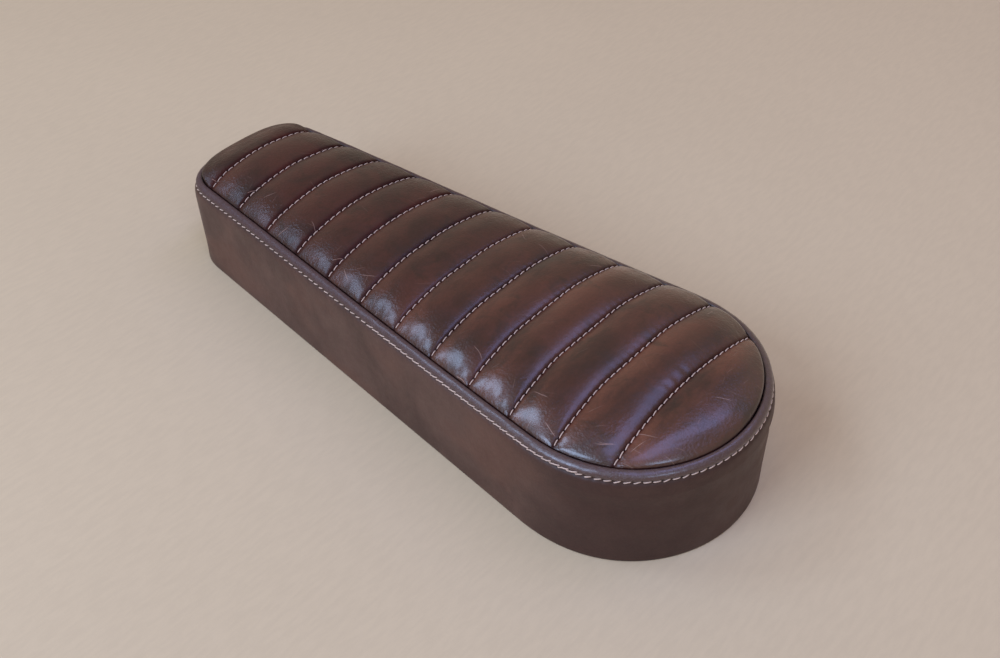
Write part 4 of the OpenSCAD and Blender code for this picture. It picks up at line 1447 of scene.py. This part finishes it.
def pleat_stitches(sewing):
    """Places, directions and outward directions of the stitches across the pleats."""
    points, along = [], []
    for k in range(LINES):
        at, run, count = line_run(k, sewing)
        x = np.interp(np.arange(count) + 0.5, run, at)
        y = np.full(count, FIRST_LINE - k * PITCH)
        step = stitch_line(x + 0.001, y, sewing.swell) - stitch_line(x - 0.001, y, sewing.swell)
        points.append(stitch_line(x, y, sewing.swell) + [0, 0, BACK_OUT * sewing.thread])
        along.append(unit(step))
    points, along = np.concatenate(points), np.concatenate(along)
    outward = unit(np.stack([-along[:, 2], np.zeros(len(points)), along[:, 0]], -1))
    return points, along, outward


def side_row(sewing, shift, lift):
    """Places, directions and outward directions of the stitches round the side.

    The row is moved on by a share of a stitch, and where it is lifted only its overlap is laid.
    """
    n = side_stitches(sewing)
    fine, _ = even_stations(n * 12)
    s = fine[np.round((np.arange(n) + 0.5 + shift) * 12).astype(int) % len(fine)]
    xy, ahead, behind = (place(s + step, STITCH_IN + STITCH_SUNK) for step in (0, 0.002, -0.002))
    z = SEAM_H - STITCH_DROP + rise(xy[:, 1]) - seam_drop(xy[:, 1]) + lift
    climb = rise(ahead[:, 1]) - seam_drop(ahead[:, 1]) - rise(behind[:, 1]) + seam_drop(behind[:, 1])
    along = unit(np.stack([*(ahead - behind).T, climb], -1))
    side = unit(np.stack([along[:, 1], -along[:, 0], np.zeros(n)], -1))
    side *= np.sign(np.sum(side[:, :2] * place(s, 0.0), axis=1, keepdims=True))
    outward = unit(side * 0.93 + np.array([0, 0, 0.37]))
    out = BACK_OUT * sewing.thread + (0.0004 if lift else 0)
    points = np.stack([xy[:, 0], xy[:, 1], z], -1) + outward * out
    laid = (xy[:, 0] < 0) & (xy[:, 1] < OVERLAP_FROM) & (xy[:, 1] > OVERLAP_TO) if lift else np.full(n, True)
    return points[laid], along[laid], outward[laid]


def joint_stitches(sewing):
    """Places, directions and outward directions of the two rows beside the joint at the front."""
    low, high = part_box("front_joint_stitch")
    count = int((high.z - low.z) / sewing.pitch)
    z = low.z + (np.arange(count) + 0.5) * sewing.pitch
    y = SIDE_HIGH.y - 0.00015 - 0.5 * sewing.wall_wave
    points = np.array([(x, y, level) for x in (low.x + sewing.thread, high.x - sewing.thread) for level in z])
    return points, np.tile([0.0, 0.0, 1.0], (len(points), 1)), np.tile([0.0, 1.0, 0.0], (len(points), 1))


class SEAT_OT_stitches(bpy.types.Operator):
    """Lays the visible rows of stitches: across the pleats, round the side and beside the front joint"""

    bl_idname = "seat.stitches"
    bl_label = "Stitches"

    def execute(self, context):
        settings = context.scene.pleated_seat
        sewing = settings.sewing
        tree = stitch_tree("lay_stitches")
        values = {
            "Length": sewing.stitch, "Radius": sewing.thread, "Pitch": sewing.pitch, "Slant": 0.11,
            "Seed": STITCH_SEED, "Thread": thread_finish(settings.colours), "Hole": hole_shade_finish(),
        }
        wider = dict(values, Radius=1.12 * sewing.thread, Slant=0.22)
        twice = zip(side_row(sewing, 0.0, 0.0), side_row(sewing, 0.5, OVERLAP_LIFT))
        rows = (
            ("pleat_stitches", "pleat_stitching", pleat_stitches(sewing), values),
            ("side_stitches", "perimeter_topstitch", [np.concatenate(pair) for pair in twice], wider),
            ("front_joint_stitches", "front_joint_stitch", joint_stitches(sewing), values),
        )
        for name, node, (points, along, outward), look in rows:
            row = grown(name, points, {"along": along, "outward": outward}, tree, look)
            finish_piece(row, node)
        return {"FINISHED"}


# ---------- fittings ----------

FITTING_SEED = 7
ANY_TURN = 6.28
UP = (0.0, 0.0, 1.0)
THREAD_PITCH = 0.00125
THREAD_SIDES = 20
THREAD_FORM = [(0.0, 0.0), (0.38, 1.0), (0.5, 1.0), (0.88, 0.0)]  # share of the pitch and of the depth
SHANK = 0.003
BORE = SHANK + 0.00015
HEAD_H = 0.004
HEX_SIDES = 24
RIVET_WASHER_T = 0.0008
RIVET_BORE = 0.00215
RIVET_THROUGH = 0.0047


def fitting_tree(name):
    """A tree that sets a copy of one piece on every point, with its axis along the stored direction."""
    g = Tree(name, Piece="Object", Spin="Float", Seed="Int", Finish="Material")
    piece = g.out("GeometryNodeObjectInfo", {"Object": g.given["Piece"]}, "Geometry")
    axes = g.out("FunctionNodeAlignRotationToVector", {"Vector": g.stored("facing")}, axis="Z")
    return g.end(g.finished(g.laid(piece, axes, 0.0, g.given["Spin"]), "Finish"))


def islands(node):
    """Points of each separate solid of a CAD node, from the tail to the front."""
    bm = bmesh.new()
    bm.from_mesh(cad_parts[node].data)
    bmesh.ops.remove_doubles(bm, verts=bm.verts, dist=2e-6)
    left = set(bm.verts)
    found = []
    while left:
        start = left.pop()
        group, queue = [start], [start]
        while queue:
            for edge in queue.pop().link_edges:
                for v in edge.verts:
                    if v in left:
                        left.remove(v)
                        group.append(v)
                        queue.append(v)
        found.append(np.array([v.co[:] for v in group]))
    bm.free()
    return sorted(found, key=lambda p: (round(p[:, 1].mean(), 4), round(p[:, 0].mean(), 4)))


def turned_piece(name, profile, sides, closed=False):
    """A piece turned on a lathe: the profile holds radius and height, from one end of the axis to the other.

    A radius may also be a row of radii, one for each side. A closed profile makes a ring.
    """
    angle = np.arange(sides) / sides * 2 * np.pi
    points = np.concatenate([
        np.stack([r * np.cos(angle), r * np.sin(angle), np.full(sides, z)], -1) for r, z in profile
    ])
    faces = grid_quads(len(profile), sides, wrap=True)
    if closed:
        j = np.arange(sides)
        last = (len(profile) - 1) * sides
        faces = np.concatenate([faces, np.stack([last + j, last + (j + 1) % sides, (j + 1) % sides, j], -1)])
    obj = new_object(name, points, faces)
    face_outwards(obj, 1e-7)
    shade_by_angle(obj, 35)
    return obj


def ring_piece(name, bore, reach, low, high, edge=0.0002):
    """A washer or barrel with chamfered edges."""
    profile = [
        (bore, low + edge), (bore + edge, low), (reach - edge, low), (reach, low + edge),
        (reach, high - edge), (reach - edge, high), (bore + edge, high), (bore, high - edge),
    ]
    return turned_piece(name, profile, 32, closed=True)


def hex_screw(name, reach, low, seat, high):
    """A hexagon-headed screw, chamfered under its head's corners and at its tip."""
    flat = reach * math.cos(math.radians(30))
    off = np.abs((np.arange(HEX_SIDES) / HEX_SIDES * 360 + 30) % 60 - 30)
    hexagon = flat / np.cos(np.radians(30 - off))
    profile = [
        (0, low + 0.0004), (0.55 * flat, low + 0.0004), (0.62 * flat, low), (0.94 * flat, low),
        (np.minimum(hexagon, flat * 1.04), low + 0.0004), (hexagon, low + 0.0009), (hexagon, seat),
        (SHANK, seat), (SHANK, high - 0.0006), (SHANK - 0.0006, high), (0, high),
    ]
    obj = turned_piece(name, profile, HEX_SIDES)
    shade_by_angle(obj, 30)
    return obj


def threaded_stud(name, radius, low, high, above):
    """A stud with a rolled thread from low to high, and the plain profile above it."""
    deep = 0.6 * THREAD_PITCH
    steps = int((high - low) / THREAD_PITCH * THREAD_SIDES)
    points = []
    for i in range(steps + 1):
        angle = 2 * math.pi * i / THREAD_SIDES
        fade = min(1.0, i / THREAD_SIDES, (steps - i) / THREAD_SIDES)
        for share, cut in THREAD_FORM:
            r = radius - deep * cut * fade
            z = low + THREAD_PITCH * (i / THREAD_SIDES + share) - THREAD_PITCH * 0.5
            points.append((r * math.cos(angle), r * math.sin(angle), min(max(z, low), high)))
    wide = len(THREAD_FORM)
    faces = grid_quads(steps + 1, wide)[:, [0, 3, 2, 1]].tolist()
    for i in range(steps - THREAD_SIDES):
        a, over = wide * (i + 1) - 1, wide * (i + THREAD_SIDES)
        faces.append([a, a + wide, over + wide, over])
    profile = [(0, low - 0.0006), (radius * 0.72, low - 0.0006), (radius * 0.86, low + 0.0006),
               (radius * 0.86, high), *above]
    core = turned_piece(name + "_core", profile, THREAD_SIDES)
    obj = new_object(name, points, faces)
    with edited(obj.data) as bm:
        bm.from_mesh(core.data)
        bmesh.ops.remove_doubles(bm, verts=bm.verts, dist=1e-7)
        bmesh.ops.recalc_face_normals(bm, faces=bm.faces)
    discard(core)
    shade_by_angle(obj, 30)
    return obj


def set_on_points(name, node, piece, points, facing, finish, spin=0.0):
    """Sets copies of the piece on the points, in place of a CAD node."""
    facing = np.broadcast_to(np.asarray(facing, float), (len(points), 3))
    values = {"Piece": piece, "Spin": spin, "Seed": FITTING_SEED, "Finish": finish}
    obj = grown(name, points, {"facing": facing}, fitting_tree("set_" + name), values)
    discard(piece)
    finish_piece(obj, node)


def upright(node):
    """For like upright solids of a CAD node: their middles, lowest and highest point, and radius."""
    solids = islands(node)
    middles = [[(p[:, 0].min() + p[:, 0].max()) / 2, (p[:, 1].min() + p[:, 1].max()) / 2, 0] for p in solids]
    return np.array(middles), solids[0][:, 2].min(), solids[0][:, 2].max(), np.ptp(solids[0][:, 0]) / 2


class SEAT_OT_fittings(bpy.types.Operator):
    """Sets the studs, screws, washers, nuts and rubber buffers of the underside"""

    bl_idname = "seat.fittings"
    bl_label = "Studs, Screws and Buffers"

    def execute(self, context):
        look = context.scene.pleated_seat.colours
        zinc = zinc_plate("zinc_plate", look.zinc)
        yellow = zinc_plate("yellow_zinc", [a * b for a, b in zip(look.zinc, look.brass)])

        places, low, high, head = upright("mounting_studs")
        strap_low, strap_high = (corner.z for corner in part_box("front_cross_strap"))
        pan_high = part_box("seat_pan")[1].z - 0.004
        neck = head - 0.002
        body = neck - 0.001
        stud = threaded_stud("stud", body, low + 0.0006, strap_low - 0.001, [
            (body, strap_low - 0.0008), (body, strap_low), (neck, strap_low), (neck, strap_high),
            (neck, pan_high), (head - 0.0004, pan_high), (head, pan_high + 0.0004),
            (head, high - 0.0006), (head - 0.0008, high), (0, high),
        ])
        set_on_points("threaded_studs", "mounting_studs", stud, places, UP, zinc, ANY_TURN)

        places, low, high, reach = upright("strap_screws")
        screw = hex_screw("screw", reach, low, low + HEAD_H, high)
        set_on_points("hex_screws", "strap_screws", screw, places, UP, zinc, ANY_TURN)

        for name, node, edge, finish in (
            ("screw_washers", "strap_washers", 0.0002, zinc),
            ("clinch_nut_barrels", "clinch_nuts", 0.0006, yellow),
        ):
            places, low, high, reach = upright(node)
            ring = ring_piece("ring", BORE, reach, low, high, edge)
            set_on_points(name, node, ring, places, UP, finish)

        places, low, high, reach = upright("rubber_buffers")
        plate_z = low + 0.013
        buffer = turned_piece("buffer", [
            (0, low + 0.0008), (reach * 0.32, low + 0.0008), (reach * 0.4, low), (reach - 0.0022, low),
            (reach - 0.0008, low + 0.0005), (reach, low + 0.0018), (reach, low + 0.0035),
            (reach - 0.0011, low + 0.0052), (reach - 0.0014, low + 0.0065), (reach - 0.0011, low + 0.0078),
            (reach, low + 0.0095), (reach, plate_z - 0.0006), (reach - 0.0005, plate_z), (0.004, plate_z),
            (0.004, plate_z + 0.0015), (0.0055, plate_z + 0.0015), (0.0055, plate_z + 0.0022),
            (0.0028, high - 0.0002), (0.0022, high), (0, high),
        ], 40)
        set_on_points("moulded_buffers", "rubber_buffers", buffer, places, UP,
                      rubber_finish(look))
        return {"FINISHED"}


class SEAT_OT_rivets(bpy.types.Operator):
    """Sets the rivets and washers that hold the hem to the pan's rim"""

    bl_idname = "seat.rivets"
    bl_label = "Hem Rivets"

    def execute(self, context):
        finish = zinc_plate("rivet_metal", context.scene.pleated_seat.colours.zinc)
        washers = islands("hem_washers")
        middles = np.array([p.mean(axis=0) for p in washers])
        # a washer's axis is the direction in which it is thinnest, turned inwards
        inward = np.array([np.linalg.svd(p - middle)[2][2] for p, middle in zip(washers, middles)])
        ahead, here = (inset(p[:, 0], p[:, 1], 0.0) for p in (middles + 0.001 * inward, middles))
        inward[ahead < here] *= -1

        reach = max(np.ptp(p[:, 2]) for p in washers) / 2
        head = max(np.ptp(p[:, 2]) for p in islands("hem_rivets")) / 2
        top = RIVET_WASHER_T / 2
        washer = ring_piece("hem_washer", RIVET_BORE, reach, -top, top)
        set_on_points("rivet_washers", "hem_washers", washer, middles, inward, finish)
        through = -RIVET_THROUGH
        rivet = turned_piece("pop_rivet", [
            (0, through - 0.0020), (0.0018, through - 0.0019), (0.0028, through - 0.0012),
            (0.0028, through - 0.0003), (0.0020, through), (0.0020, top), (head - 0.0003, top),
            (head, top + 0.0003), (head - 0.0005, top + 0.0007), (head - 0.0014, top + 0.00105),
            (0.0013, top + 0.0012), (0.0011, top + 0.0009), (0.0006, top + 0.0007), (0, top + 0.00095),
        ], 24)
        set_on_points("pop_rivets", "hem_rivets", rivet, middles, inward, finish, ANY_TURN)
        return {"FINISHED"}


# ---------- pan and foam ----------


def dress(node, material):
    """Gives a CAD node its finish."""
    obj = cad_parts[node]
    if not obj.material_slots:
        obj.data.materials.append(material)
    for held in obj.material_slots:
        held.material = material


class SEAT_OT_pan(bpy.types.Operator):
    """Finishes the pan, its cross straps and the rubber trim on its rim"""

    bl_idname = "seat.pan"
    bl_label = "Pan and Straps"

    def execute(self, context):
        look = context.scene.pleated_seat.colours
        zinc = zinc_plate("strap_zinc", look.zinc)
        dress("seat_pan", painted_steel(look))
        dress("front_cross_strap", zinc)
        dress("rear_cross_strap", zinc)
        dress("rim_edge_trim", rubber_finish(look))
        return {"FINISHED"}


def softened(node, name, edge):
    """A copy of a CAD solid with its sharp edges rounded off, as foam and cloth have them."""
    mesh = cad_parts[node].data.copy()
    mesh.name = name
    obj = linked(name, mesh)
    with edited(mesh) as bm:
        bmesh.ops.remove_doubles(bm, verts=bm.verts, dist=2e-6)
        bmesh.ops.dissolve_limit(bm, angle_limit=math.radians(1), verts=bm.verts, edges=bm.edges)
    if edge > 0:
        bevel = obj.modifiers.new("soft_edge", "BEVEL")
        bevel.width = edge
        bevel.segments = 3
        bevel.limit_method = "ANGLE"
        bevel.angle_limit = math.radians(40)
        rounded = bpy.data.meshes.new_from_object(evaluated(obj))
        obj.modifiers.remove(bevel)
        obj.data = rounded
        bpy.data.meshes.remove(mesh)
    shade_by_angle(obj, 35)
    return obj


class SEAT_OT_foam(bpy.types.Operator):
    """Finishes the layers under the leather: foams, film, backing cloth, liner and stay tape"""

    bl_idname = "seat.foam"
    bl_label = "Foam and Cloth Layers"

    def execute(self, context):
        look = context.scene.pleated_seat.colours
        # node, name, rounding, slot, finish, and the share of a foam or what a sheet rests on
        layers = (
            ("base_foam", "firm_base_foam", 0.0008, "firm_foam",
             foam_finish("firm_foam_skin", look.firm_foam, 0.0011), 1.0),
            ("comfort_foam", "soft_top_foam", 0.001, "soft_foam",
             foam_finish("soft_foam_skin", look.soft_foam, 0.0018), 0.9),
            ("moisture_film", "film_sheet", 0, "film", film_finish(look), "soft_top_foam"),
            ("backing_cloth", "backing_sheet", 0, "backing",
             woven_finish("backing_weave", look.lining, 0.0009), "film_sheet"),
            ("side_liner", "liner_strip", 0.0005, "liner_foam",
             foam_finish("liner_foam_skin", look.padding, 0.0012), 0.9),
            ("seam_stay_tape", "stay_tape", 0.0002, "tape",
             woven_finish("tape_weave", look.lining, 0.0006), None),
        )
        for node, name, edge, slot_name, material, made_as in layers:
            obj = softened(node, name, edge)
            obj.data.materials.clear()
            obj.data.materials.append(material)
            finish_piece(obj, node)
        dress("seam_stitch", thread_finish(look))
        return {"FINISHED"}


# ---------- stage ----------


def area_lamp(name, lamp_at, target, size, power, colour):
    """A soft rectangular lamp that faces its target."""
    lamp = bpy.data.lights.new(name, "AREA")
    lamp.shape = "RECTANGLE"
    lamp.size, lamp.size_y = size
    lamp.energy = power
    lamp.color = colour[:3]
    obj = linked(name, lamp)
    obj.location = lamp_at
    obj.rotation_euler = (Vector(target) - Vector(lamp_at)).to_track_quat("-Z", "Y").to_euler()
    return obj


class SEAT_OT_stage(bpy.types.Operator):
    """Sets up the pale floor, the soft lamps and the camera"""

    bl_idname = "seat.stage"
    bl_label = "Floor, Lamps and Camera"

    def execute(self, context):
        scene = context.scene
        lights = scene.pleated_seat.lights
        corners = [(x * FLOOR_HALF, y * FLOOR_HALF, 0) for x, y in ((-1, -1), (1, -1), (1, 1), (-1, 1))]
        floor = new_object("floor", corners, [(0, 1, 2, 3)])
        floor.data.materials.append(floor_finish(scene.pleated_seat.colours))
        lamps = [
            area_lamp(name, lamp_at, target, size, getattr(lights, power_name), getattr(lights, colour))
            for name, lamp_at, target, size, power_name, colour in LAMPS
        ]

        world = bpy.data.worlds.new("soft_room")
        world.use_nodes = True
        background = world.node_tree.nodes["Background"].inputs
        background["Color"].default_value = lights.room_tint
        background["Strength"].default_value = lights.room
        scene.world = world

        data = bpy.data.cameras.new("camera")
        data.sensor_width = SENSOR_W
        data.lens = CAMERA_LENS
        data.clip_start = 0.01
        camera = linked("camera", data)
        ahead = Vector(CAMERA_AHEAD).normalized()
        right = ahead.cross(Vector(UP)).normalized()
        turn = Matrix((right, right.cross(ahead), -ahead)).transposed()
        roll = Matrix.Rotation(math.radians(CAMERA_ROLL), 4, "Z")
        camera.matrix_world = Matrix.Translation(CAMERA_AT) @ turn.to_4x4() @ roll
        scene.camera = camera
        scene.view_settings.view_transform = "Standard"
        return {"FINISHED"}


# ---------- panel ----------


class SEAT_PT_panel(bpy.types.Panel):
    """Lists the steps that make the seat"""

    bl_idname = "SEAT_PT_panel"
    bl_label = "Pleated Seat"
    bl_space_type = "VIEW_3D"
    bl_region_type = "UI"
    bl_category = "Seat"

    def draw(self, context):
        for operator in OPERATORS:
            self.layout.operator(operator.bl_idname)
        settings = context.scene.pleated_seat
        for group in (settings.sewing, settings.colours, settings.lights):
            box = self.layout.box()
            for name in group.bl_rna.properties.keys():
                if name not in ("rna_type", "name"):
                    box.prop(group, name)


OPERATORS = (
    SEAT_OT_top,
    SEAT_OT_side,
    SEAT_OT_stitches,
    SEAT_OT_rivets,
    SEAT_OT_fittings,
    SEAT_OT_pan,
    SEAT_OT_foam,
    SEAT_OT_stage,
)
CLASSES = (SeatSewing, SeatColours, SeatLights, SeatSettings, *OPERATORS, SEAT_PT_panel)


def register():
    for cls in CLASSES:
        bpy.utils.register_class(cls)
    bpy.types.Scene.pleated_seat = bpy.props.PointerProperty(type=SeatSettings)


def unregister():
    del bpy.types.Scene.pleated_seat
    for cls in reversed(CLASSES):
        bpy.utils.unregister_class(cls)


def main():
    """Makes the whole seat."""
    register()
    for operator in OPERATORS:
        group, name = operator.bl_idname.split(".")
        getattr(getattr(bpy.ops, group), name)()


if __name__ == "__main__":
    main()
